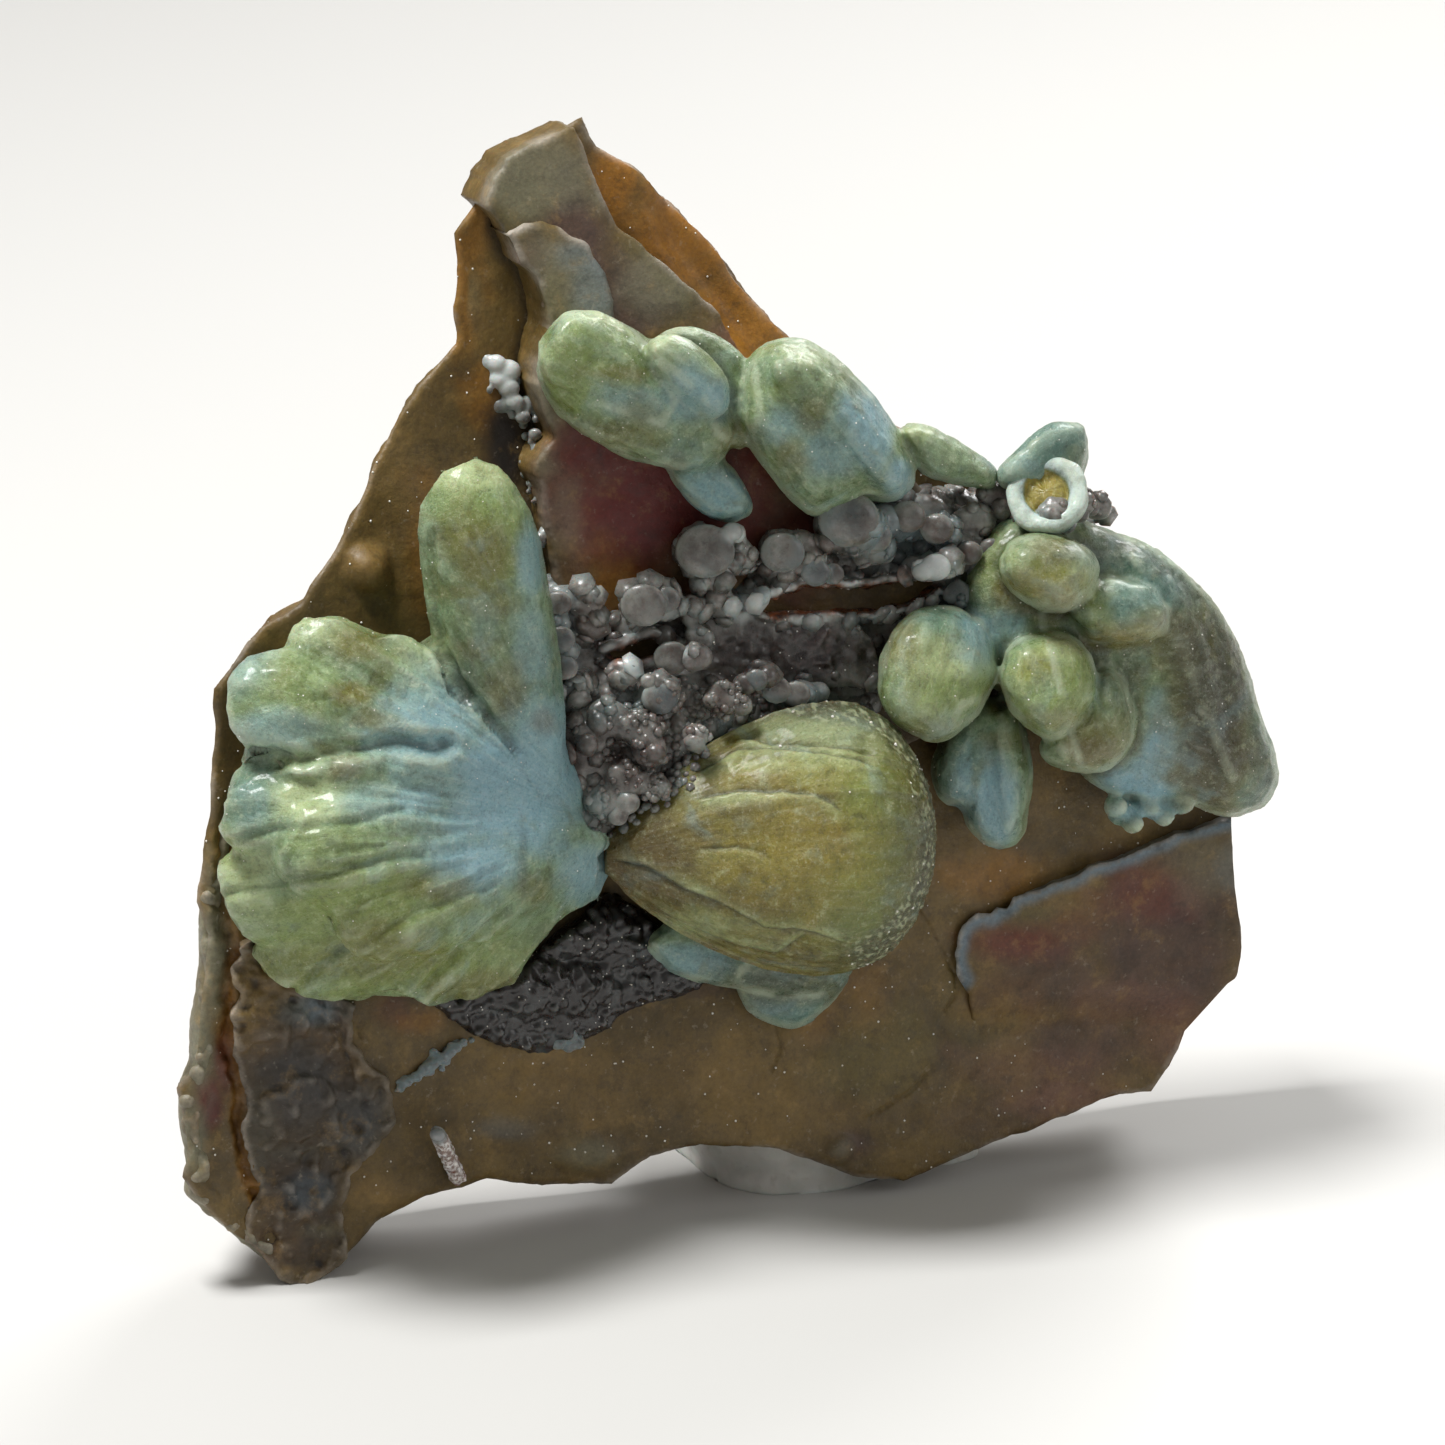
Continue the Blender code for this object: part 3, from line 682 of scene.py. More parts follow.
PLATE_OUTLINE = (
    TIP, (-18.4, 0.3), (-19.5, 1.7), (-21.6, 3.6), (-22.2, 4.5), (-21.9, 5.5), (-22.3, 8.1), (-21.5, 9.1),
    (-21.2, 11.8), (-20.9, 14.4), (-21.4, 15.6), (-20.9, 19.0), (-20.7, 23.9), (-18.9, 26.2), (-17.4, 27.2),
    (-15.6, 30.0), (-14.4, 32.8), (-12.8, 35.5), (-11.3, 37.2), (-11.3, 41.5), (-10.2, 43.2), (-9.0, 45.1),
    (-7.4, 45.7), (-6.3, 46.2), (-5.7, 45.1), (-3.6, 43.8), (-0.9, 41.0), (1.2, 38.4), (5.8, 34.6), (12.4, 31.6),
    (17.2, 28.0), (20.0, 22.6), (20.3, 18.0), (20.6, 13.4), (20.4, 12.2), (18.8, 11.0), (18.2, 8.9), (17.0, 7.2),
    (15.4, 7.2), (12.0, 5.7), (9.6, 5.1), (6.7, 3.9), (4.6, 4.2), (1.6, 5.3), (-1.6, 5.6), (-3.6, 5.0), (-5.2, 3.9),
    (-8.0, 3.7), (-10.2, 4.0), (-12.6, 3.4), (-14.6, 2.4), (-16.1, 0.8),
)
LEFT_EDGE = ((224, 780), (221, 900), (219, 960), (206, 1015), (203, 1080), (186, 1130), (202, 1180), (245, 1235))
LEFT_SKIN = ((300, 980), (336, 985), (338, 1005), (322, 1030), (300, 1020), (286, 1005))
# The lower ground to the right of the upper layer's ridge.
RIDGE_FOOT = ((655, 215), (672, 249), (693, 281), (711, 304), (745, 350), (800, 400), (900, 300), (700, 100))
RIND_SEAM = (
    (232, 830), (224, 900), (237, 951), (226, 972), (232, 1000), (228, 1030), (240, 1079), (239, 1117), (248, 1168),
    (262, 1205),
)

# The upper layer, with the ledge along its left side and the ridge at its right.
UPPER_LAYER = (
    (489, 214), (504, 230), (512, 250), (521, 268), (535, 282), (541, 298), (545, 327), (540, 345), (536, 362),
    (532, 385), (540, 410), (549, 438), (536, 455), (531, 474), (540, 500), (548, 560), (560, 600), (570, 720),
    (640, 830), (760, 770), (900, 740), (990, 700), (1010, 620), (960, 520), (860, 430), (740, 362), (715, 315),
    (690, 291), (665, 269), (640, 249), (617, 232), (609, 210), (601, 190), (596, 174), (588, 152), (579, 138),
    (571, 136), (530, 158), (512, 168), (498, 190),
)
TONGUE = (
    (505, 240), (524, 229), (543, 227), (556, 230), (569, 240), (585, 250), (592, 262), (600, 275), (601, 287),
    (607, 300), (606, 317), (560, 345), (543, 350), (545, 325), (541, 298), (534, 281), (520, 267), (511, 250),
)
RED_SHELF = (
    (975, 1000), (964, 985), (959, 962), (961, 940), (968, 927), (984, 917), (996, 917), (1002, 909), (1012, 909),
    (1020, 900), (1040, 893), (1062, 884), (1080, 879), (1096, 869), (1128, 860), (1180, 838), (1300, 800),
    (1300, 960), (1290, 1030), (1245, 1120), (1170, 1150), (1090, 1190), (1000, 1210), (985, 1120),
)
DARK_SKIN = (
    (262, 930), (290, 965), (330, 985), (360, 1000), (352, 1040), (372, 1062), (392, 1078), (398, 1120),
    (376, 1150), (352, 1178), (344, 1210), (345, 1260), (325, 1310), (280, 1310), (240, 1265), (246, 1215),
    (258, 1190), (253, 1160), (246, 1120), (249, 1090), (240, 1045), (236, 1010), (244, 985), (236, 962),
    (244, 935),
)
CRACKS = (
    ((922, 913), (936, 934), (949, 956), (962, 983), (960, 1003), (948, 1020)),
    ((755, 975), (768, 1010), (780, 1048), (768, 1078)),
    ((866, 1123), (888, 1112), (912, 1098), (930, 1080)),
    ((352, 960), (360, 985), (348, 1010), (362, 1040)),
)

STONE_TINTS = (
    ("tan", "7c6232"), ("orange", "9c6818"), ("olive", "5a5227"), ("purple", "4a332f"), ("red", "641c18"),
    ("pink", "83584c"), ("blue", "687c88"), ("grey", "77745c"), ("dark", "1d1713"), ("crumbs", "a9a093"),
)


def stained(obj, spots, sides, rows):
    """Gives the piece one attribute for each tint, from its stains."""
    for name, _ in STONE_TINTS:
        found = blots(spots, rows.get(name, ()), seed=len(name) + 7) * (1 - smooth(0.3, 1, sides))
        set_attribute(obj, name, found)


def value_of(obj, name):
    values = np.empty(len(obj.data.vertices), np.float32)
    obj.data.attributes[name].data.foreach_get("value", values)
    return values.astype(float)


def change(obj, name, values):
    obj.data.attributes[name].data.foreach_set("value", np.asarray(values, np.float32))


def raised(obj, name, values):
    """Lifts an attribute to the values where it is lower."""
    change(obj, name, np.maximum(value_of(obj, name), values))


# Stains, and among the dark ones a painted shadow: x, y, half width, half height in the photograph's frame, and
# strength.
PLATE_STAINS = {
    "orange": ( (690, 230, 60, 90, 1), (620, 190, 26, 50, 1), (740, 320, 60, 60, 0.95), (482, 290, 26, 90, 0.6),
        (505, 410, 26, 50, 0.6), (466, 262, 10, 26, 0.6), (1000, 880, 60, 30, 0.4), (840, 1010, 60, 40, 0.22),
        (440, 560, 30, 60, 0.35), (420, 1020, 26, 14, 0.35), (1000, 1010, 50, 30, 0.3), ),
    "tan": ( (560, 1080, 90, 50, 0.45), (760, 1120, 110, 30, 0.35), (390, 500, 40, 70, 0.5),
        (376, 570, 30, 26, 0.9), (380, 1195, 44, 20, 0.7), (490, 280, 30, 90, 0.8), (410, 500, 60, 70, 0.5),
        (700, 1080, 90, 40, 0.35), (950, 860, 80, 40, 0.3), (440, 400, 26, 60, 0.4), (488, 285, 16, 60, 0.5), ),
    "olive": ((880, 1060, 70, 50, 0.55), (980, 1010, 50, 40, 0.4), (490, 300, 14, 30, 0.5),
        (1040, 915, 36, 10, 0.5)),
    "purple": ( (1180, 960, 90, 90, 0.75), (1100, 1060, 70, 46, 0.6), (690, 985, 60, 18, 0.4),
        (1060, 980, 70, 50, 0.6), (850, 1150, 20, 16, 0.6), (1220, 900, 50, 50, 0.6), (1170, 860, 60, 16, 0.4),
        (1000, 1130, 80, 24, 0.35), ),
    "red": ( (212, 1095, 12, 30, 1), (226, 1060, 10, 40, 0.6), (395, 1010, 20, 20, 0.3), (1160, 895, 56, 30, 0.5),
        (1020, 945, 50, 22, 0.65), (1070, 930, 30, 20, 0.3), ),
    "pink": ((1070, 1110, 60, 26, 0.45), (1040, 1080, 90, 30, 0.25), (1190, 1040, 40, 50, 0.35),
        (1130, 1010, 60, 30, 0.25)),
    "blue": ( (310, 1005, 26, 20, 0.7), (505, 1132, 34, 12, 0.2), (1245, 870, 20, 26, 0.25), ),
    "grey": ( (587, 1158, 34, 18, 0.5), (220, 940, 12, 90, 0.9), (206, 1030, 12, 60, 0.9), (196, 1130, 12, 50, 0.9),
        (840, 1153, 12, 12, 0.4), (490, 310, 14, 30, 0.3), (1220, 870, 50, 40, 0.35), ),
    # The dark entry at (520, 450) is a painted shadow in the hollow under the upper layer's ledge.
    "dark": ((400, 950, 120, 26, 0.6), (520, 450, 30, 60, 1), (600, 960, 90, 40, 0.6), (300, 1100, 80, 110, 0.5)),
}
UPPER_STAINS = {
    "olive": ((515, 210, 30, 40, 0.6), (660, 290, 40, 30, 0.5), (640, 260, 20, 20, 0.5)),
    "grey": ((540, 180, 60, 40, 0.75), (660, 285, 50, 34, 0.6), (505, 395, 20, 60, 0.8), (535, 430, 18, 50, 0.8),
        (560, 520, 20, 40, 0.4)),
    "purple": ((575, 240, 34, 60, 0.8), (620, 310, 40, 40, 0.8), (570, 480, 30, 40, 0.35), (530, 270, 14, 30, 0.5)),
    "red": ((650, 500, 130, 80, 1), (740, 440, 60, 80, 0.8), (570, 470, 40, 50, 0.8), (800, 540, 60, 60, 0.8),
        (590, 440, 50, 40, 0.8), (525, 262, 12, 12, 0.4)),
    "pink": ((720, 340, 26, 26, 0.5), (570, 540, 16, 40, 0.3)),
    "orange": ((620, 580, 34, 34, 0.8), (600, 550, 24, 30, 0.6), (730, 345, 20, 20, 0.5)),
    "tan": ((590, 530, 40, 40, 0.4),),
    "dark": ((900, 500, 120, 40, 0.7),),
}
TONGUE_STAINS = {
    "grey": ((560, 290, 60, 60, 0.6),),
    "blue": ((585, 290, 26, 60, 0.9), (570, 260, 26, 20, 0.7)),
    "olive": ((540, 300, 20, 40, 0.5),),
    "purple": ((530, 265, 16, 20, 0.6),),
}
SKIN_STAINS = {
    "dark": ((300, 1120, 100, 140, 0.72), (380, 1110, 40, 40, 0.5), (320, 1250, 40, 30, 0.6)),
    "purple": ((300, 1060, 80, 90, 0.35), (290, 1180, 50, 60, 0.35), (280, 1240, 40, 30, 0.4)),
    "grey": ((262, 1130, 14, 60, 0.5), (290, 1150, 30, 10, 0.45), (320, 1230, 24, 10, 0.5),
        (290, 1000, 20, 20, 0.3)),
    "blue": ((306, 1190, 26, 20, 0.75), (312, 1005, 30, 20, 0.75), (350, 1120, 34, 40, 0.4),
        (300, 1080, 40, 50, 0.3)),
    "tan": ((262, 1240, 20, 30, 0.4), (300, 960, 30, 20, 0.3)),
}
PLATE_LINE = roughened(PLATE_OUTLINE, 0.2, 0.16, 1.6, 2)


def plate_piece(stone):
    cracks = [seen(*crack) for crack in CRACKS]
    extra = []
    for line in cracks:
        for start, end in zip(line[:-1], line[1:]):
            count = max(2, round(np.linalg.norm(end - start) / 0.12))
            along = start + (end - start) * np.arange(count)[:, None] / count
            along = along + wave(along, 0.7, 31, 3)[:, None] * 0.08
            side = np.array((start[1] - end[1], end[0] - start[0])) / np.linalg.norm(end - start)
            extra += [*along, *(along + side * 0.07), *(along - side * 0.07)]
    extra = np.array(extra)

    def front(across, up):
        spots = np.column_stack((across, up))
        height = base_height(across, up)
        height += 0.1 * wave(spots, 4.0, 41, 3) + 0.03 * wave(spots, 0.7, 43, 3)
        warped = spots + wave(spots, 0.7, 31, 3)[:, None] * 0.08
        for line in cracks:
            height -= 0.12 * smooth(0.09, 0, line_distance(warped, line))
        # Raised skins, knobs and ridges on the plain stone.
        knob = np.hypot(*(spots - seen((376, 570))[0]).T) * (1 + 0.2 * wave(spots, 0.8, 47, 2))
        height += 0.75 * smooth(1.25, 0.2, knob)
        skin = line_gap(spots, LEFT_SKIN, closed=True) + 0.15 * wave(spots, 1.2, 3, 4)
        height += 0.22 * smooth(0.1, -0.1, skin)
        height += 0.3 * blots(spots, ((587, 1158, 34, 18, 1), (840, 1153, 14, 14, 1)), 9, 0.3)
        beside = line_gap(spots, RIDGE_FOOT, closed=True) + 0.15 * wave(spots, 1.2, 51, 3)
        height -= 0.5 * smooth(0.25, -0.35, beside)
        # The rind along the left edge and the crumbly seam inside it.
        low_left = smooth(-19.0, -20.0, across) * smooth(21, 19, up)
        left = line_gap(spots, LEFT_EDGE)
        seam = line_gap(spots, RIND_SEAM)
        height += low_left * 0.3 * smooth(0.62, 0.1, left + 0.12 * wave(spots, 0.9, 53, 2))
        crumbly = 1 - 0.5 * wave(spots, 0.3, 58, 2)
        height -= 0.42 * smooth(0.34, 0.05, seam + 0.16 * wave(spots, 0.45, 57, 2)) * crumbly
        height += 0.16 * smooth(1.1, 0.3, seam) * np.abs(wave(spots, 0.5, 59, 3))
        return height

    obj, spots, sides = slab(
        "matrix_stone", PLATE_LINE, front, plate_back, 0.175, 20, EDGE, 0.0078, 0.22, 0.55, extra
    )
    stained(obj, spots, sides, PLATE_STAINS)
    # Painted shadow: the plate is darkened along the upper layer's ledge, where the ledge shades it.
    ledge = line_gap(spots, UPPER_LAYER[:20])
    on_front = 1 - smooth(0.2, 0.9, sides)
    raised(obj, "dark", 0.65 * smooth(0.45, 0.03, ledge) * on_front * smooth(20, 24, spots[:, 1]))
    seam = line_gap(spots, RIND_SEAM)
    raised(obj, "orange", 0.75 * smooth(0.5, 0.05, seam + 0.15 * wave(spots, 0.5, 61, 2)) * on_front)
    border = np.abs(line_distance(spots, PLATE_LINE[::3], closed=True))
    rim = smooth(0.22, 0.02, border) * on_front * smooth(-0.2, 0.5, wave(spots, 1.5, 63, 3))
    raised(obj, "crumbs", 0.55 * rim)
    mottled = 0.5 + 0.5 * wave(points_of(obj.data), 5.0, 67, 4)
    raised(obj, "tan", smooth(0.3, 1, sides) * 0.6 * mottled)
    raised(obj, "purple", smooth(0.3, 1, sides) * 0.5 * smooth(0.45, 0.9, 1 - mottled))
    return settle(obj, stone, "matrix", "matrix_plate")


def layer_piece(name, outline, height, spacing, stone, rows, seed, rim=0.5, lip=0.06, depth=1.0, ragged=0.12,
    rough=1.0, run=OUT):
    """A thin layer of the plate: it lies on the base and ends in a ragged ledge."""
    line = clipped(roughened(seen(*outline), 0.13, ragged, 0.8, seed), PLATE_LINE)

    def front(across, up):
        spots = np.column_stack((across, up))
        relief = 0.09 * wave(spots, 3.2, seed + 1, 3) + 0.05 * (rough - 1) * wave(spots, 1.1, seed + 5, 3)
        return height(across, up) + relief + 0.025 * rough * wave(spots, 0.5, seed + 2, 3)

    def back(across, up):
        return base_height(across, up) - depth

    obj, spots, sides = slab(name, line, front, back, spacing, 8, run, 0.0, 0.1, 0.7, lip=lip)
    stained(obj, spots, sides, rows)
    border = np.abs(line_distance(spots, line[::3], closed=True))
    found = smooth(0.3, 0.03, border) * (1 - smooth(0.6, 1, sides)) * rim
    found = found * smooth(-0.5, 0.3, wave(spots, 1.1, seed + 3, 3))
    raised(obj, "crumbs", found)
    return settle(obj, stone, "matrix")


# The line of the rind, from above round the lower left corner.
RIND = (
    (226, 830), (218, 880), (214, 920), (214, 960), (210, 992), (204, 1022), (203, 1060), (192, 1086), (192, 1120),
    (199, 1165), (196, 1190), (221, 1212), (250, 1238), (278, 1262),
)


def rind_piece(stone):
    """The lumpy pale rind round the plate's lower-left edge."""
    rng = np.random.default_rng(61)
    places = seen(*RIND)
    shells = []
    for start, end in zip(places[:-1], places[1:]):
        for _ in range(max(2, round(np.linalg.norm(end - start) / 0.09))):
            spot = start + (end - start) * rng.uniform() + (rng.uniform(-0.12, 0.35), 0)
            depth = rng.uniform(-1.2, 0.25)
            shells.append(small_ball(spot, float(base_height(*spot)) + depth, rng.uniform(0.14, 0.34), (1, 1, 0.8)))
            core = start + (end - start) * rng.uniform()
            shells.append(small_ball(core, float(base_height(*spot)) - 0.6, 0.42, (0.8, 0.8, 1.9)))
    obj = fused("pale_rind", shells, 0.11, 1)
    webbed(obj, 3)
    points = points_of(obj.data)
    stained(obj, looked_at(points)[:, :2], np.zeros(len(points)),
        {"red": ((212, 1100, 12, 30, 0.9),), "dark": ((330, 1270, 40, 20, 0.5), (260, 1250, 30, 14, 0.4))})
    change(obj, "grey", 0.55 + 0.4 * smooth(-0.4, 0.4, wave(points, 1.2, 63, 3)))
    # Paler on its proud points, and painted shade in its hollows.
    change(obj, "crumbs", np.clip(sharpness(obj.data, 2) * 12, 0, 0.7))
    raised(obj, "dark", np.clip(-sharpness(obj.data, 2) * 16, 0, 0.8))
    return settle(obj, stone, "matrix")


# ---------------------------------------------------------------- crystals


class Barrel(NamedTuple):
    """A crystal from its foot to its tip, as in the part's source."""

    foot: tuple
    tip: tuple
    radius: float
    foot_share: float = 0.45
    depth_share: float = 0.9
    flare: float = 0.8
    dome: float = 0.32


def barrels(*rows):
    return tuple(Barrel(*row) for row in rows)


def barrel_axes(shape):
    foot, tip = place(*shape.foot), place(*shape.tip)
    length = np.linalg.norm(tip - foot)
    axis = (tip - foot) / length
    side = np.cross(axis, OUT)
    if np.linalg.norm(side) < 0.2:
        side = np.cross(axis, UPWARD)
    side /= np.linalg.norm(side)
    return foot, axis, length, side, np.cross(side, axis)


def barrel_width(shape, share):
    width = shape.foot_share + (1 - shape.foot_share) * (1 - (1 - np.minimum(share / shape.flare, 1)) ** 2)
    rounding = np.maximum(0, (share - 1 + shape.dome) / shape.dome)
    return width * np.sqrt(np.maximum(0, 1 - rounding**2.4))


def hexagon(turn, amount):
    step = math.pi / 3
    off = turn % step - step / 2
    return 1 - amount + amount * math.cos(step / 2) / np.cos(off)


def tube_faces(rings, sides):
    """Quads of rings of points one after another, and triangles to a first and a last pole."""
    ring = np.arange(sides)
    following = (ring + 1) % sides
    quads = [
        np.column_stack((following, ring, sides + ring, sides + following)) + n * sides
        for n in range(rings - 1)
    ]
    last, pole = (rings - 1) * sides, rings * sides
    caps = (
        np.column_stack((ring, following, np.full(sides, pole))),
        np.column_stack((last + following, last + ring, np.full(sides, pole + 1))),
    )
    return np.concatenate(quads), np.concatenate(caps)


def barrel_shell(shape, seed=0, rings=36, sides=42, facets=0.5, uneven=0.05):
    """A barrel's closed shell, a little uneven."""
    foot, axis, length, side, rise = barrel_axes(shape)
    share = ((1 - np.cos(np.linspace(0, math.pi, rings + 2)[1:-1])) / 2)[:, None]
    turn = np.linspace(0, 2 * math.pi, sides, endpoint=False)[None, :]
    around = np.stack(np.broadcast_arrays(np.cos(turn) * 2, np.sin(turn) * 2, share * 2.5), -1).reshape(-1, 3)
    bumps = 1 + uneven * wave(around + seed * 7.3, 1.1, seed, 3).reshape(rings, sides)
    radius = shape.radius * barrel_width(shape, share) * hexagon(turn, facets) * bumps
    across = np.multiply.outer(radius * np.cos(turn), side)
    deep = np.multiply.outer(radius * np.sin(turn) * shape.depth_share, rise)
    points = (foot + np.multiply.outer(share, axis) * length + across + deep).reshape(-1, 3)
    return np.concatenate((points, [foot, foot + axis * length])), *tube_faces(rings, sides)


def pillow(outline, out, rise, sink, reach, tilt=(0.0, 0.0), seed=1, spacing=0.26):
    """A closed rounded body over an outline in the photograph's units: fuller in front by rise, behind by sink."""
    line = seen(*outline)
    for _ in range(2):
        following = np.roll(line, -1, axis=0)
        line = np.stack((line * 0.75 + following * 0.25, line * 0.25 + following * 0.75), 1).reshape(-1, 2)
    line = roughened(line, 0.22, 0.05, 0.9, seed)
    flat, faces, ring = filled(line, spacing)
    middle = line.mean(0)
    edge = np.abs(line_distance(flat, line, closed=True))
    edge[ring] = 0

    def rounding(share):
        return np.sqrt(1 - (1 - np.clip(share, 0, 1)) ** 2)

    full = 0.72 * rounding(edge / reach) + 0.28 * rounding(edge / edge.max())
    level = out + (flat - middle) @ np.array(tilt)
    top, bottom = (place(flat[:, 0], flat[:, 1], level + shift * full) for shift in (rise, -sink))
    number = np.arange(len(flat)) + len(flat)
    number[ring] = ring
    return np.concatenate((top, bottom)), faces, number[faces][:, ::-1]


def nearest_barrel(points, shapes):
    """For each point the barrel it lies on, and its share along, turn round and distance out of it."""
    best = np.full(len(points), 1e9)
    found = np.zeros((len(points), 4))
    for number, shape in enumerate(shapes):
        foot, axis, length, side, rise = barrel_axes(shape)
        reach = points - foot
        share = np.clip(reach @ axis / length, 0, 1)
        x, y = reach @ side, reach @ rise / shape.depth_share
        turn = np.arctan2(y, x)
        width = shape.radius * np.maximum(barrel_width(shape, np.clip(share, 0.02, 0.93)), 0.3)
        gap = np.abs(np.hypot(x, y) - width) + 0.5 * np.maximum(0, np.abs(reach @ axis / length - 0.5) - 0.5) * length
        closer = gap < best
        best[closer] = gap[closer]
        found[closer] = np.column_stack((np.full(len(points), number), share, turn, np.hypot(x, y)))[closer]
    return found


def grain_of(points, shapes):
    """Coordinates in which a noise turns into fibres that run along each crystal."""
    number, share, turn, radius = nearest_barrel(points, shapes).T
    lengths = np.array([barrel_axes(shape)[2] for shape in shapes])[number.astype(int)]
    return np.column_stack(
        (radius * np.cos(turn) + number * 5.1, radius * np.sin(turn), share * lengths * 0.13 + number * 3.7)
    ), share, turn, radius, number


def crystal_attributes(obj, grain, rim_gain, rim_floor, tints):
    spots = looked_at(points_of(obj.data))[:, :2]
    set_attribute(obj, "grain", grain)
    # Painted light and shade: proud rims are painted paler as a highlight, and creases darker as shade.
    proud = sharpness(obj.data, 3)
    set_attribute(obj, "rim", np.clip((proud - rim_floor) * rim_gain * 1.4, 0, 0.6))
    set_attribute(obj, "groove", np.clip((-proud - rim_floor) * rim_gain * 1.5, 0, 0.8))
    for name in WAX_NAMES:
        set_attribute(obj, name, blots(spots, tints.get(name, ()), seed=len(name) + 3))


WAX_TINTS = (
    ("green", "7f9140"), ("pale", "b3c28a"), ("teal", "4c746b"), ("blue", "82a9b4"), ("olive", "6b6617"),
    ("brown", "5d4719"), ("golden", "94842a"), ("white", "d6e6e8"), ("shade", "23281a"),
)
WAX_NAMES = [name for name, _ in WAX_TINTS]

# Creases that run in towards the fan's centre.
FAN_CREASES = (
    ((244, 748), (276, 755), (310, 757), (345, 752), (400, 742), (450, 745)),
    ((240, 838), (262, 832), (300, 826), (350, 822), (410, 808)),
    ((232, 890), (270, 884), (320, 872), (350, 868), (391, 855), (430, 850)),
    ((300, 985), (340, 950), (380, 930), (430, 905), (500, 880)),
    ((420, 997), (440, 970), (470, 940), (520, 905)),
    ((448, 662), (470, 690), (500, 725), (520, 752)),
    ((436, 540), (438, 600), (446, 650), (470, 700)),
)
FAN_CENTRE = (-5.2, 18.6)
FAN_SHAPES = barrels(
    ((-5.0, 18.4, 0.8), (-17.6, 18.6, 2.2), 4.6, 0.55, 0.55),
    ((-6.6, 19.6, 1.6), (-20.0, 23.7, 3.2), 2.8, 0.5),
    ((-6.8, 20.0, 1.6), (-17.4, 26.4, 2.6), 2.0, 0.6),
    ((-7.0, 20.6, 1.6), (-13.6, 25.2, 2.2), 1.7, 0.7),
    ((-7.0, 19.4, 2.2), (-14.6, 22.4, 4.4), 2.3, 0.6),
    ((-8.8, 19.2, 3.0), (-17.6, 21.2, 4.9), 1.5, 0.7),
    ((-7.0, 18.5, 2.0), (-20.3, 19.2, 3.8), 2.5, 0.5),
    ((-7.0, 17.7, 1.8), (-20.6, 15.9, 3.0), 2.6, 0.5),
    ((-6.8, 16.9, 1.8), (-19.0, 12.9, 2.4), 2.4, 0.6),
    ((-6.4, 16.3, 1.6), (-15.8, 11.8, 2.2), 2.3, 0.6),
    ((-6.0, 16.5, 1.4), (-11.6, 11.9, 2.2), 2.2, 0.7),
    ((-5.6, 17.0, 1.4), (-9.2, 13.4, 2.0), 1.8, 0.8),
    ((-6.6, 18.0, 2.8), (-18.0, 17.4, 5.8), 2.5, 0.6),
    ((-6.2, 17.2, 2.6), (-15.6, 14.8, 6.0), 2.4, 0.6),
    ((-8.4, 18.4, 2.2), (-10.9, 33.2, 3.8), 2.75, 0.6, 0.9, 0.62, 0.24),
)
FINGER_NUMBER = 14
GOLDEN = Barrel((-5.4, 17.2, 2.6), (7.7, 18.3, 4.8), 5.45, 0.12, 0.74, 0.7, 0.34)
LENS = barrels(
    ((-3.8, 14.3, 0.8), (4.7, 12.2, 1.4), 1.7, 0.6),
    ((-1.8, 12.7, 0.6), (3.7, 10.4, 1.0), 1.3, 0.7),
)
UPPER_BARRELS = barrels(
    ((-0.4, 33.5, 2.4), (-8.1, 38.2, 3.2), 1.7, 0.8),
    ((-0.2, 32.4, 2.4), (-8.0, 36.0, 3.2), 1.9, 0.7),
    ((-4.0, 37.8, 3.8), (-0.2, 34.8, 4.6), 1.2, 0.8),
    ((-3.4, 37.4, 2.4), (0.6, 35.6, 2.4), 1.5, 0.8),
    ((-3.0, 33.4, 2.2), (0.4, 30.8, 2.8), 0.95, 0.9),
    ((6.2, 31.2, 2.2), (0.6, 37.6, 3.2), 2.6, 0.7),
    ((2.0, 36.2, 4.2), (6.7, 31.2, 4.4), 1.3, 0.7),
    ((4.2, 30.9, 2.0), (-0.2, 35.4, 2.8), 1.6, 0.8),
    ((2.6, 31.0, 1.6), (-0.6, 33.8, 2.0), 1.4, 0.8),
    ((10.0, 31.7, 1.6), (5.9, 34.4, 1.8), 1.4, 0.6),
)
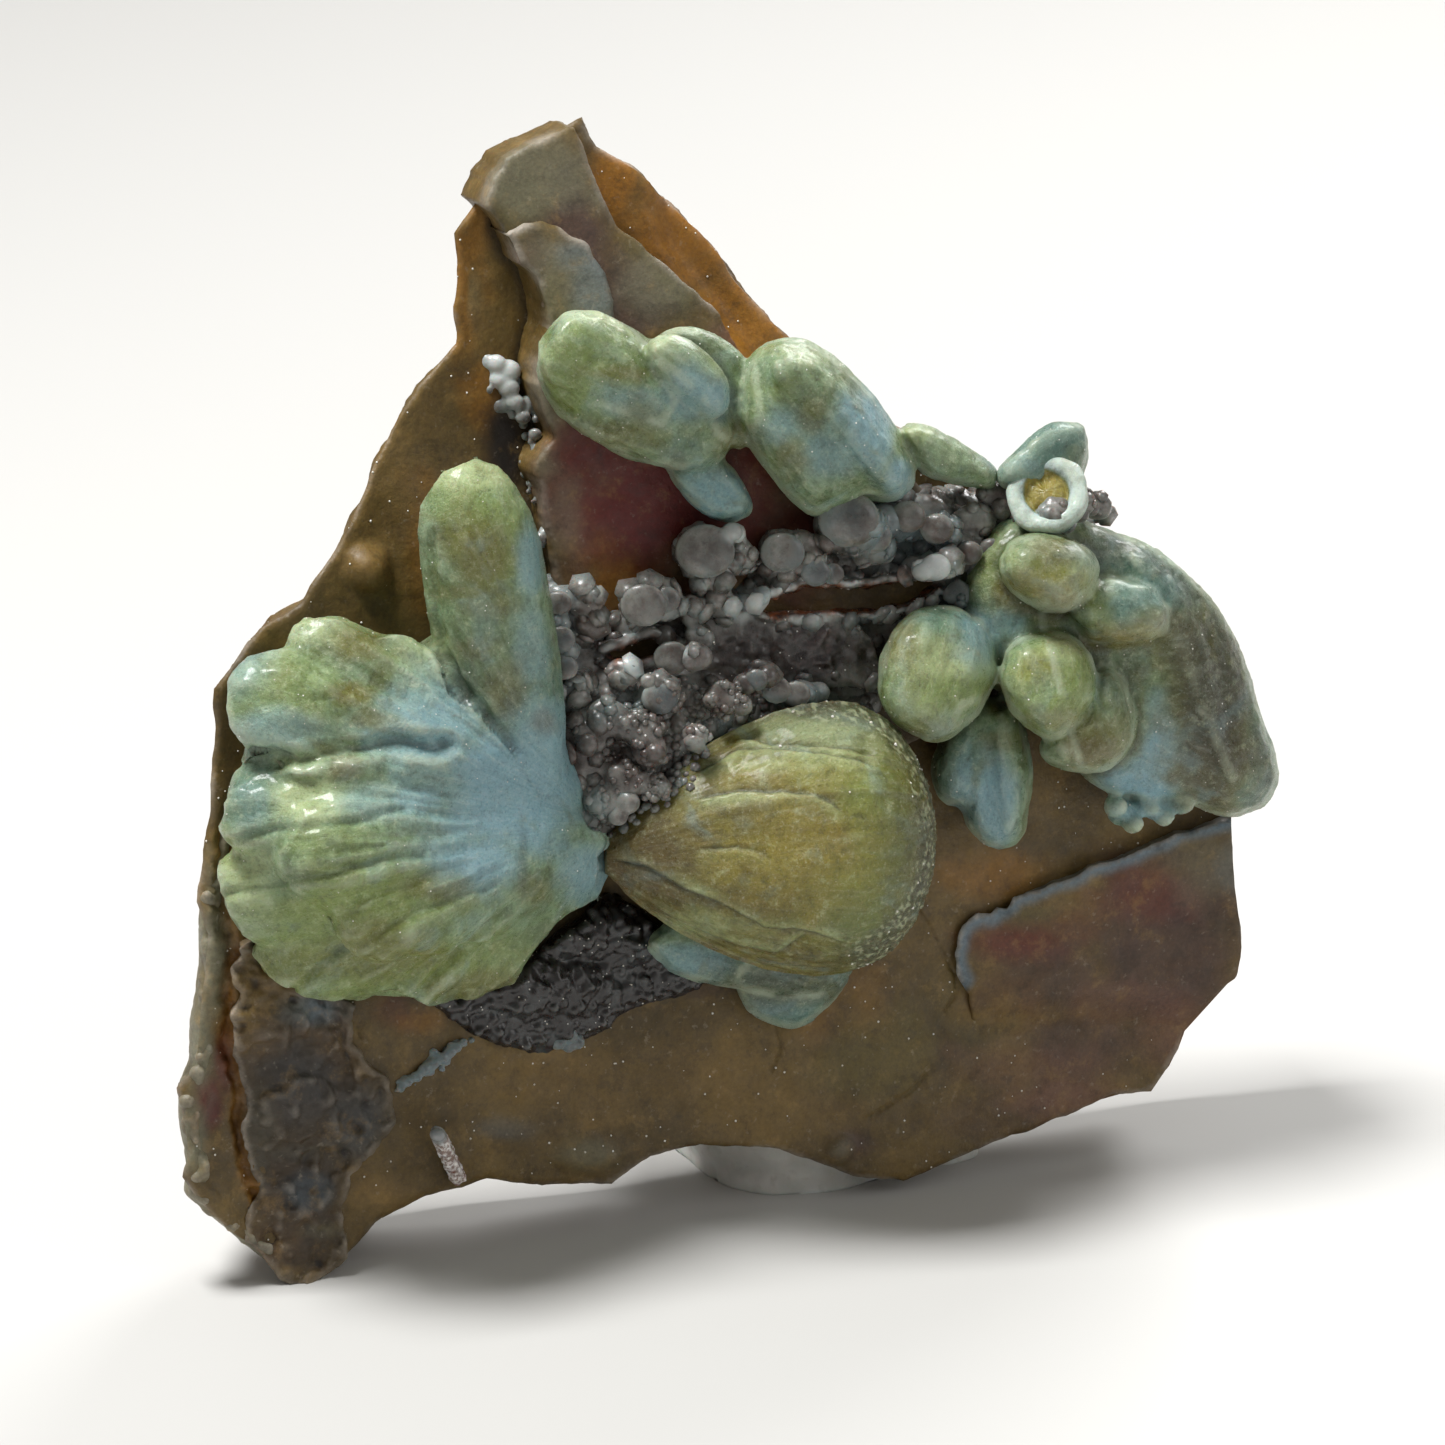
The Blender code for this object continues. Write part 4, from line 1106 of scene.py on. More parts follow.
RIGHT_CLUSTER = barrels(
    ((13.0, 24.6, 1.2), (19.4, 23.2, 1.8), 3.9, 0.8, 0.5),
    ((13.6, 25.9, 1.6), (15.4, 30.6, 2.2), 2.0, 0.8),
    ((13.8, 25.7, 1.6), (18.6, 28.3, 2.6), 2.3, 0.6),
    ((13.6, 25.5, 1.6), (20.6, 25.1, 2.8), 2.3, 0.7),
    ((13.4, 25.1, 1.6), (21.2, 22.3, 2.8), 2.2, 0.7),
    ((13.2, 24.7, 1.6), (22.2, 19.9, 2.8), 2.0, 0.8),
    ((13.0, 24.3, 1.6), (20.4, 18.4, 2.4), 1.9, 0.8),
    ((12.6, 24.1, 1.6), (17.0, 19.4, 1.6), 1.9, 0.9),
    ((10.2, 31.3, 2.0), (14.2, 34.6, 2.4), 1.4, 0.7),
    ((12.9, 30.2, 1.4), (12.3, 31.8, 3.7), 1.35, 1.0, 1.0, 1.0, 0.1),
    ((13.2, 29.2, 1.6), (12.8, 30.7, 4.6), 1.0, 1.0, 1.0, 1.0, 0.5),
    ((10.7, 29.1, 2.6), (14.5, 28.1, 6.2), 1.85, 0.9, 0.9, 0.8, 0.2),
    ((13.2, 27.5, 2.6), (17.6, 27.3, 5.2), 1.75, 0.9, 0.9, 0.8, 0.22),
    ((9.4, 27.8, 2.4), (7.9, 21.5, 5.4), 2.7, 0.75, 0.9, 0.7, 0.24),
    ((12.0, 27.4, 2.8), (12.8, 22.0, 6.0), 2.15, 0.75, 0.9, 0.7, 0.22),
    ((12.8, 25.9, 2.4), (14.8, 20.3, 4.4), 2.0, 0.8, 0.9, 0.7, 0.22),
    ((9.2, 24.6, 1.8), (10.9, 17.1, 2.6), 1.85, 0.8),
    ((8.0, 23.6, 1.8), (8.7, 18.4, 2.4), 1.5, 0.9),
)

# Rounded crystals by the outline they are seen with: the outline, how far out its edge lies, how much
# fuller they are in front and behind, how wide their rounded edge is, and their tilt.
RIGHT_BODIES = (
    (((1084, 516), (1116, 526), (1156, 540), (1190, 564), (1220, 592), (1244, 628), (1258, 662), (1268, 696),
        (1280, 728), (1292, 754), (1295, 782), (1280, 810), (1248, 822), (1220, 818), (1196, 806), (1164, 806),
        (1140, 800), (1108, 796), (1080, 770), (1060, 700), (1040, 620), (1050, 560)), 1.7, 2.2, 1.2, 2.6, (0, 0)),
    (((1120, 545), (1150, 548), (1180, 572), (1204, 604), (1220, 640), (1234, 690), (1250, 740), (1262, 776),
        (1240, 796), (1212, 770), (1190, 720), (1160, 660), (1130, 600)), 2.9, 1.4, 1.5, 1.7, (0, 0)),
    (((998, 560), (1012, 538), (1044, 529), (1076, 536), (1100, 552), (1103, 576), (1092, 598), (1066, 615),
        (1044, 612), (1022, 600), (1004, 582)), 4.4, 2.0, 2.8, 1.1, (0.12, -0.2)),
    (((1066, 610), (1084, 590), (1104, 574), (1138, 575), (1162, 588), (1176, 608), (1172, 630), (1150, 645),
        (1122, 648), (1092, 640), (1076, 626)), 3.8, 1.6, 2.2, 0.9, (0.15, -0.1)),
    (((877, 684), (881, 650), (897, 620), (924, 604), (956, 604), (984, 620), (1001, 650), (998, 688), (978, 718),
        (940, 748), (902, 730), (882, 710)), 3.9, 2.3, 2.3, 1.3, (-0.1, -0.22)),
    (((1000, 674), (1008, 642), (1040, 630), (1074, 630), (1094, 654), (1103, 686), (1092, 714), (1070, 734),
        (1052, 742), (1026, 728), (1004, 704)), 4.6, 2.0, 2.6, 1.1, (0.05, -0.22)),
    (((1040, 740), (1080, 706), (1104, 660), (1128, 676), (1144, 716), (1138, 750), (1110, 774), (1076, 776),
        (1044, 762)), 4.1, 1.7, 2.6, 0.9, (0.05, -0.15)),
    (((930, 770), (940, 740), (960, 700), (1000, 690), (1026, 716), (1038, 760), (1036, 806), (1030, 838),
        (1012, 854), (990, 849), (970, 832), (962, 806), (944, 806)), 1.9, 1.8, 1.5, 1.1, (0, -0.1)),
    (((990, 700), (1020, 706), (1032, 750), (1032, 810), (1014, 846), (998, 830), (990, 780)),
        3.0, 1.0, 1.6, 0.7, (0, -0.1)),
    (((994, 470), (1020, 444), (1046, 422), (1068, 416), (1088, 422), (1095, 442), (1090, 466), (1080, 486),
        (1040, 492), (1004, 490)), 2.2, 1.2, 1.2, 0.9, (0, 0)),
    (((1000, 520), (1030, 510), (1080, 510), (1120, 540), (1130, 620), (1110, 700), (1060, 720), (1000, 700),
        (960, 640), (970, 560)), 2.2, 1.6, 1.6, 2.0, (0, 0)),
)
LENS_BODIES = (
    (((640, 940), (657, 962), (668, 974), (694, 984), (722, 990), (770, 1000), (820, 1002), (850, 984), (858, 960),
        (800, 930), (700, 900)), 1.1, 1.0, 0.9, 0.8, (0, 0)),
    (((728, 980), (742, 1008), (756, 1022), (774, 1030), (796, 1035), (818, 1025), (838, 1004), (850, 984),
        (858, 962), (800, 940), (750, 960)), 0.6, 0.9, 0.7, 0.6, (0, 0)),
)
UPPER_BODIES = (
    (((538, 366), (545, 338), (572, 315), (612, 318), (650, 342), (692, 366), (728, 398), (738, 430), (728, 458),
        (704, 474), (668, 471), (630, 462), (590, 442), (558, 419), (542, 392)), 2.0, 2.4, 1.6, 1.7, (0, 0)),
    (((539, 370), (546, 339), (572, 316), (606, 318), (642, 344), (668, 376), (680, 408), (664, 432), (620, 418),
        (576, 404), (548, 392)), 3.3, 1.5, 2.0, 1.2, (0, 0)),
    (((643, 352), (662, 338), (690, 344), (716, 366), (732, 394), (729, 418), (710, 425), (684, 410), (656, 384)),
        4.2, 0.9, 1.8, 0.7, (0.05, 0)),
    (((636, 352), (676, 328), (716, 334), (756, 366), (764, 420), (744, 456), (716, 440), (700, 400)),
        2.1, 0.8, 0.9, 0.7, (0, 0)),
    (((660, 450), (700, 446), (724, 460), (744, 482), (755, 506), (747, 520), (729, 526), (703, 517), (685, 500),
        (668, 478)), 2.0, 1.1, 1.0, 0.5, (0, 0)),
    (((560, 414), (590, 424), (640, 438), (690, 430), (728, 420), (736, 440), (724, 462), (700, 476), (660, 470),
        (620, 456), (580, 436)), 3.2, 1.0, 1.6, 0.9, (0, 0)),
    (((738, 402), (742, 372), (755, 352), (776, 337), (816, 344), (852, 372), (882, 404), (906, 440), (919, 470),
        (911, 495), (890, 503), (868, 500), (848, 508), (812, 520), (790, 502), (772, 482), (752, 454), (738, 430)),
        2.4, 2.3, 1.8, 1.9, (0, 0)),
    (((764, 362), (802, 352), (846, 384), (886, 432), (912, 474), (902, 496), (876, 492), (848, 462), (806, 424),
        (770, 396)), 4.0, 1.2, 2.0, 1.0, (0, 0)),
    (((894, 424), (924, 420), (956, 438), (988, 456), (1002, 472), (996, 490), (964, 486), (924, 478), (908, 452)),
        1.9, 1.4, 1.1, 0.7, (0, 0)),
)
FAN_OUTLINE = (
    (480, 461), (504, 469), (521, 488), (537, 515), (551, 556), (559, 593), (566, 640), (582, 700), (598, 750),
    (606, 790), (612, 830), (616, 866), (600, 900), (566, 917), (543, 940), (512, 980), (478, 996), (431, 999),
    (391, 989), (360, 993), (312, 991), (274, 973), (260, 948), (242, 910), (231, 876), (228, 836), (240, 789),
    (257, 761), (285, 757), (262, 744), (247, 725), (239, 690), (248, 655), (272, 627), (304, 616), (344, 621),
    (383, 637), (412, 641), (436, 649), (424, 585), (421, 537), (424, 510), (436, 491), (448, 474),
)
# The crystals' tints, in the same way as the stains.
FAN_TINTS = {
    "blue": ((510, 790, 90, 76, 1), (440, 730, 60, 60, 0.8), (560, 760, 60, 60, 0.9), (290, 730, 50, 20, 0.5),
        (480, 860, 60, 36, 0.9), (600, 870, 40, 30, 0.8), (250, 660, 30, 40, 0.4), (380, 800, 40, 20, 0.5),
        (535, 560, 14, 40, 0.7), (536, 640, 20, 40, 0.5)),
    "teal": ((262, 800, 26, 40, 0.7), (300, 880, 30, 20, 0.3), (560, 700, 26, 40, 0.5)),
    "pale": ((310, 630, 60, 24, 0.7), (430, 660, 40, 30, 0.5), (320, 800, 60, 26, 0.7), (290, 750, 50, 20, 0.5),
        (480, 480, 60, 16, 0.7), (255, 870, 30, 40, 0.6)),
    "green": ((360, 900, 120, 50, 0.9), (330, 950, 90, 50, 0.9), (500, 540, 40, 60, 0.8), (470, 500, 40, 30, 0.6),
        (238, 850, 12, 30, 0.9), (300, 690, 60, 40, 0.5), (430, 960, 90, 40, 0.9), (330, 840, 50, 20, 0.5)),
    "olive": ((368, 645, 34, 18, 0.8), (360, 694, 26, 14, 0.9), (485, 560, 36, 40, 0.8), (490, 610, 36, 14, 0.6),
        (440, 885, 40, 16, 0.6), (400, 950, 70, 30, 0.6), (480, 985, 60, 20, 0.7), (536, 890, 20, 20, 0.5),
        (300, 960, 50, 20, 0.4), (350, 960, 50, 16, 0.5), (470, 545, 30, 20, 0.7), (475, 595, 44, 12, 0.6),
        (380, 720, 30, 12, 0.6)),
    "brown": ((354, 768, 20, 14, 0.6), (510, 690, 24, 30, 0.45), (545, 720, 14, 16, 0.5), (480, 650, 26, 14, 0.4)),
    "shade": ((470, 690, 12, 30, 0.5), (340, 872, 40, 4, 0.4), (526, 860, 6, 50, 0.35)),
}
UPPER_TINTS = {
    "green": ((590, 360, 50, 60, 0.7), (570, 400, 50, 40, 0.7), (700, 370, 30, 16, 0.6), (770, 380, 30, 40, 0.6),
        (760, 440, 20, 40, 0.6), (905, 430, 30, 14, 0.8)),
    "olive": ((620, 380, 40, 8, 0.6), (640, 420, 30, 20, 0.5), (600, 440, 60, 20, 0.6), (740, 450, 26, 30, 0.8),
        (790, 460, 20, 26, 0.6), (810, 420, 20, 20, 0.5)),
    "pale": ((590, 322, 40, 14, 0.7), (660, 345, 20, 26, 0.5), (545, 380, 10, 40, 0.4), (800, 360, 50, 14, 0.4)),
    "blue": ((715, 492, 44, 30, 0.6), (690, 395, 30, 30, 0.7), (715, 405, 18, 22, 0.8), (640, 410, 40, 20, 0.5),
        (870, 430, 30, 50, 0.85), (900, 480, 18, 26, 0.9), (780, 430, 26, 20, 0.5), (830, 460, 40, 30, 0.5),
        (1000, 455, 20, 20, 0.4)),
    "teal": ((715, 490, 60, 40, 0.9), (1060, 440, 40, 30, 0.6), (770, 370, 30, 20, 0.4)),
    "shade": ((675, 470, 14, 14, 0.5),),
}
RIGHT_TINTS = {
    "green": ((1000, 560, 30, 30, 0.7), (930, 690, 60, 60, 0.8), (1130, 610, 60, 44, 0.9), (1050, 690, 60, 60, 0.9),
        (1230, 700, 50, 90, 0.8), (1060, 560, 50, 30, 0.6)),
    "olive": ((1045, 604, 50, 14, 1), (1010, 590, 20, 24, 0.9), (1110, 640, 50, 12, 1), (900, 640, 26, 40, 0.8),
        (1000, 700, 14, 18, 1), (1096, 740, 50, 34, 0.8), (1220, 700, 60, 120, 1), (1010, 740, 30, 14, 0.5),
        (930, 730, 40, 16, 0.6), (1060, 720, 40, 14, 0.6), (1150, 620, 30, 16, 0.6)),
    "brown": ((1060, 550, 44, 18, 0.55), (1230, 750, 40, 50, 0.5), (1090, 750, 30, 14, 0.5),
        (1180, 640, 30, 30, 0.3)),
    "pale": ((945, 660, 50, 22, 0.7), (910, 712, 30, 20, 0.5), (1120, 588, 30, 14, 0.5), (1060, 650, 30, 14, 0.5),
        (1085, 570, 12, 16, 0.6)),
    "blue": ((1000, 800, 26, 60, 0.9), (966, 790, 14, 40, 0.6), (1168, 750, 26, 50, 1), (1150, 786, 60, 24, 1),
        (984, 636, 30, 30, 0.7), (1010, 620, 24, 24, 0.6), (1020, 470, 30, 20, 0.4), (1150, 812, 60, 20, 0.8)),
    "teal": ((1170, 590, 70, 40, 0.9), (1220, 640, 50, 60, 0.9), (1140, 560, 60, 20, 0.8), (1060, 440, 50, 40, 0.9),
        (960, 780, 30, 60, 0.8), (1270, 760, 30, 50, 0.7), (950, 618, 40, 16, 0.6)),
    "golden": ((1050, 588, 44, 24, 0.6), (1124, 632, 40, 14, 0.5), (1036, 668, 26, 20, 0.35)),
    "shade": ((1070, 820, 40, 20, 0.5), (1105, 665, 10, 30, 0.6), (1135, 670, 20, 40, 0.5),
        (1225, 690, 50, 110, 0.8)),
}
LENS_TINTS = {
    "teal": ((760, 1000, 130, 60, 1),),
    "blue": ((680, 960, 50, 20, 0.6), (760, 1010, 40, 12, 0.4)),
    "olive": ((790, 990, 80, 26, 0.5),),
    "shade": ((780, 985, 80, 30, 0.45),),
}
GOLDEN_TINTS = {
    "golden": ((800, 850, 90, 60, 0.6), (790, 780, 70, 24, 0.4)),
    "green": ((880, 820, 44, 120, 0.95), (860, 900, 60, 60, 0.7), (830, 770, 60, 26, 0.5)),
    "brown": ((640, 860, 70, 50, 0.7), (680, 840, 50, 30, 0.5), (750, 900, 60, 14, 0.4)),
    "pale": ((820, 728, 100, 20, 0.8), (700, 925, 60, 16, 0.45), (760, 765, 60, 8, 0.5)),
    "olive": ((790, 905, 100, 30, 0.5), (760, 890, 60, 20, 0.3), (895, 820, 50, 120, 0.6)),
}
# Beads under the right crystal: x, y, out and radius in mm.
RIGHT_BEADS = (
    (1122, 808, 2.4, 0.5), (1140, 825, 2.5, 0.45), (1155, 808, 2.3, 0.5), (1172, 818, 2.4, 0.45),
    (1190, 806, 2.4, 0.5), (1130, 815, 2.0, 0.6), (1165, 810, 2.0, 0.6),
)
NEEDLE = Barrel((-11.3, 4.2, -0.2), (-12.2, 6.4, 1.6), 0.45, 1.0, 1.0, 1.0, 0.2)


def held_in(obj, border):
    """Draws what is seen outside a border back to it."""
    spots = looked_at(points_of(obj.data))
    gap = line_distance(spots[:, :2], border, closed=True)
    outside = gap > -0.02
    spots[outside, :2] = nearest_on(spots[outside, :2], border)
    move_points(obj.data, place(*spots.T))


def eased_face(obj, rounds, amount):
    """Evens out how far the front of a piece stands out, and leaves its sides alone."""
    points, normals = points_of(obj.data), normals_of(obj.data)
    out = points @ OUT
    even = neighbour_mean(obj.data, out, rounds)[:, 0]
    facing = smooth(0.15, 0.7, normals @ OUT)
    move_points(obj.data, points + OUT * ((even - out) * facing * amount)[:, None])


def fan_piece(finish):
    def share(points):
        """The finger keeps its grooves; the fan's lobes grow together."""
        return np.where(nearest_barrel(points, FAN_SHAPES)[:, 0] == FINGER_NUMBER, 0.25, 1.0)

    bead = ball(seen_place(597, 841, 3.6), 15 * FRAME_STEP)
    shells = [barrel_shell(shape, 100 + number, facets=0.25, uneven=0.06) for number, shape in enumerate(FAN_SHAPES)]
    obj = fused("fan_of_crystals", [*shells, bead], 0.15, 3)
    webbed(obj, 45, share(points_of(obj.data)))
    lobes = share(points_of(obj.data))
    eased_face(obj, 170, np.where(lobes < 1, 0.0, 0.62))
    held_in(obj, roughened(seen(*FAN_OUTLINE), 0.25, 0.07, 1.2, 69))
    points, normals = points_of(obj.data), normals_of(obj.data)
    spots = looked_at(points)
    reach = spots[:, :2] - FAN_CENTRE
    radius = np.hypot(*reach.T)
    angle = np.arctan2(reach[:, 1], reach[:, 0]) % (2 * math.pi)
    finger = np.where(lobes < 1, 1.0, 0.0)
    fibres = np.column_stack((angle * 9, radius * 0.12, spots[:, 2] * 0.5))
    broad = np.column_stack((angle * 5.5, radius * 0.10, spots[:, 2] * 0.35))
    ridges = 1 - np.abs(wave(broad, 1.0, 71, 2)) * 1.6
    small = 1 - np.abs(wave(np.column_stack((angle * 15, radius * 0.16, spots[:, 2] * 0.5)), 1.0, 72, 2)) * 1.6
    height = (1 - finger) * smooth(2.5, 8, radius) * (0.15 * ridges + 0.1 * small + 0.05 * wave(fibres, 0.45, 73, 3))
    bumps = 0.16 * wave(points, 2.0, 74, 2) + 0.07 * np.abs(wave(points, 0.8, 68, 2))
    height += (1 - finger) * smooth(5, 9, radius) * bumps
    for number, crease in enumerate(FAN_CREASES):
        gap = line_distance(spots[:, :2] + wave(spots[:, :2], 1.0, 76, 2)[:, None] * 0.08, seen(*crease))
        height -= (0.15 if number else 0.45) * smooth(0.3 if number else 0.6, 0.02, gap) * (normals @ OUT > 0)
    height += finger * 0.03 * wave(np.column_stack((spots[:, 0] * 3, spots[:, 1] * 0.2, spots[:, 2] * 3)), 1.0, 75, 3)
    height += 0.05 * wave(points, 0.9, 77, 3) + 0.012 * wave(points, 0.3, 79, 2)
    move_points(obj.data, points + normals * (height - 0.12)[:, None])
    crystal_attributes(obj, fibres * (1, 1, 0.4), 9.0, 0.01, FAN_TINTS)
    return settle(obj, finish, "blue_green_crystal", "fan_spray")


def cluster_piece(name, shapes, bodies, voxel, seed, finish, tints, replaced, extra=(), rim=9.0, web=2, plain=()):
    """Crystals grown together: rounded bodies as they are seen, with fibres along the part's barrels, painted shade
    round the front bodies and painted highlights inside their outlines.
    """
    shells = [pillow(*body, seed=seed + number) for number, body in enumerate(bodies)]
    obj = fused(name, [*shells, *extra], voxel, 3)
    webbed(obj, web)
    points, normals = points_of(obj.data), normals_of(obj.data)
    grain, *_ = grain_of(points, shapes)
    height = 0.05 * wave(grain, 0.5, seed + 1, 3) + 0.05 * wave(points, 0.9, seed + 2, 3)
    height += 0.01 * wave(points, 0.3, seed + 3, 2)
    move_points(obj.data, points + normals * height[:, None])
    crystal_attributes(obj, grain, rim, 0.006, tints)
    spots = looked_at(points)
    # Painted shade in a band round each front body's outline, where it meets what lies behind it, and a painted pale
    # highlight just inside the outline.
    painted_contact_shade, edge = np.zeros(len(spots)), np.zeros(len(spots))
    for outline, out, _, _, _, tilt in (body for number, body in enumerate(bodies) if number not in plain):
        line = seen(*outline)
        gap = line_distance(spots[:, :2], line, closed=True)
        above = spots[:, 2] - out - (spots[:, :2] - line.mean(0)) @ np.array(tilt)
        painted_contact_shade = np.maximum(painted_contact_shade, smooth(0.42, 0.0, gap) * smooth(-0.2, -0.05, gap) * smooth(0.15, -0.4, above))
        edge = np.maximum(edge, smooth(-0.45, -0.16, gap) * smooth(0.1, -0.06, gap) * smooth(-0.3, 0.1, above))
    raised(obj, "groove", 0.75 * painted_contact_shade)
    raised(obj, "rim", 0.42 * edge * smooth(-0.6, 0.3, wave(points, 1.2, seed + 4, 2)))
    return settle(obj, finish, "blue_green_crystal", replaced)


# Edges of the great barrel's growth layers: how far the far side steps down, over how many mm it
# comes back, whether the far side is above (1) or below (-1), and the line.
GOLDEN_EDGES = (
    (0.26, 1.0, 1, ((730, 738), (750, 735), (784, 739), (820, 741), (853, 746), (884, 756))),
    (0.24, 0.9, 1, ((690, 778), (705, 764), (738, 748), (764, 745), (800, 748), (853, 756), (880, 768))),
    (0.18, 1.6, 1, ((690, 800), (718, 793), (738, 790), (779, 790), (815, 794), (830, 802), (846, 815))),
    (0.08, 1.2, 1, ((690, 850), (705, 848), (738, 848), (764, 853), (778, 866))),
    (0.16, 2.6, -1, ((608, 858), (644, 866), (669, 881), (713, 899), (738, 912), (764, 927), (789, 930), (815, 935),
        (848, 944))),
    (0.12, 0.5, -1, ((650, 905), (672, 919), (718, 941), (743, 951), (777, 955), (792, 947), (812, 932))),
    (0.07, 0.6, 1, ((850, 812), (863, 818), (874, 832))),
    (0.07, 0.6, -1, ((872, 900), (889, 884), (897, 866))),
)
GRAPE_SLOPE = (
    (570, 700), (640, 650), (750, 670), (764, 694), (742, 716), (706, 752), (684, 786), (656, 812), (628, 832),
    (596, 848),
)
GOLDEN_RIM = (
    (800, 700), (836, 703), (866, 708), (893, 724), (912, 750), (928, 787), (934, 833), (930, 879), (915, 912),
    (890, 938), (866, 956),
)


def golden_piece(finish):
    """The great barrel: shingled growth layers whose edges show as thin steps, with painted shade lines along them
    and a painted highlight on their raised side, and a rough rim with painted glints and shade painted towards it.
    """
    rings, sides = 250, 320
    foot, axis, length, side, rise = barrel_axes(GOLDEN)
    share = ((1 - np.cos(np.linspace(0, math.pi, rings + 2)[1:-1])) / 2)[:, None]
    turn = np.linspace(0, 2 * math.pi, sides, endpoint=False)[None, :]
    share, turn = np.broadcast_arrays(share, turn)
    width = barrel_width(GOLDEN, share)
    turns, shares = turn.ravel(), share.ravel()
    fan_lines = wave(np.column_stack((np.cos(turns) * 14, np.sin(turns) * 14, shares * 1.3)), 1.0, 83, 3)
    around = np.stack((np.cos(turn) * 3, np.sin(turn) * 3, share * 5), -1).reshape(-1, 3)
    radius = GOLDEN.radius * width * hexagon(turn, 0.45) * (1 + 0.025 * wave(around, 2.0, 85, 2).reshape(share.shape))
    radius = radius + 0.04 * fan_lines.reshape(share.shape) * width + 0.2 * smooth(0, 0.1, share)
    across = (radius * np.cos(turn))[..., None] * side
    deep = (radius * np.sin(turn) * GOLDEN.depth_share)[..., None] * rise
    points = (foot + share[..., None] * axis * length + across + deep).reshape(-1, 3)
    points = np.concatenate((points, [foot, foot + axis * length]))
    obj = new_object("golden_crystal", new_mesh("golden_crystal", points, *tube_faces(rings, sides)))
    points, normals = points_of(obj.data), normals_of(obj.data)
    spots = looked_at(points)[:, :2]
    front = smooth(-0.05, 0.25, normals @ OUT)
    wavy = wave(spots, 1.1, 89, 3) * 0.1
    height = 0.018 * wave(points, 0.3, 87, 2) + 0.035 * wave(points, 0.9, 88, 2)
    # dark holds painted shade lines along the layers' edges; pale holds a painted highlight on the raised side of
    # each edge.
    dark, pale = np.zeros(len(points)), np.zeros(len(points))
    for step, fade, facing, line in GOLDEN_EDGES:
        across_line, up_line = seen(*line).T
        gap = (spots[:, 1] - np.interp(spots[:, 0], across_line, up_line) + wavy) * facing
        first, last = across_line[[0, -1]]
        there = smooth(first, first + 0.8, spots[:, 0]) * smooth(last, last - 0.6, spots[:, 0])
        beyond = smooth(-0.03, 0.05, gap) * np.exp(-np.maximum(gap, 0) / fade)
        height -= step * there * beyond * front
        near = np.exp(-((gap / 0.09) ** 2)) * there
        height -= 0.06 * near * front
        dark = np.maximum(dark, 0.75 * near * min(1.0, step / 0.14))
        pale = np.maximum(pale, 0.55 * there * smooth(-0.75, -0.1, gap) * (gap < 0) * min(1.0, step / 0.16))
    rim = smooth(0.95, 0.35, line_gap(spots, GOLDEN_RIM) + 0.15 * wave(spots, 0.8, 86, 2))
    height += rim * 0.09 * (np.abs(wave(points, 0.26, 84, 2)) - 0.4)
    move_points(obj.data, points + normals * height[:, None])
    shares, turns = np.append(shares, (0, 1)), np.append(turns, (0, 0))
    grain = np.column_stack((np.cos(turns) * 4, np.sin(turns) * 4, shares * 1.3))
    crystal_attributes(obj, grain, 7.0, 0.008, GOLDEN_TINTS)
    # Sugary pale spots along the rim band, painted as glints; the rims keep half their painted highlight.
    painted_rim_glints = rim * smooth(0.2, 0.7, wave(points, 0.17, 90, 2))
    change(obj, "rim", np.clip(np.maximum(value_of(obj, "rim") * 0.5, painted_rim_glints), 0, 0.55))
    raised(obj, "pale", pale * front)
    change(obj, "shade", np.maximum(dark * front, 0.4 * rim + 0.3 * smooth(2.6, 0.8, line_gap(spots, GOLDEN_RIM))))
    covered = line_gap(spots, GRAPE_SLOPE, closed=True) + 0.3 * wave(spots, 0.9, 92, 3)
    set_attribute(obj, "grapes", smooth(0.15, -0.15, covered) * front)
    return settle(obj, finish, "golden_crystal", "golden_barrel")


# ---------------------------------------------------------------- the grey crust

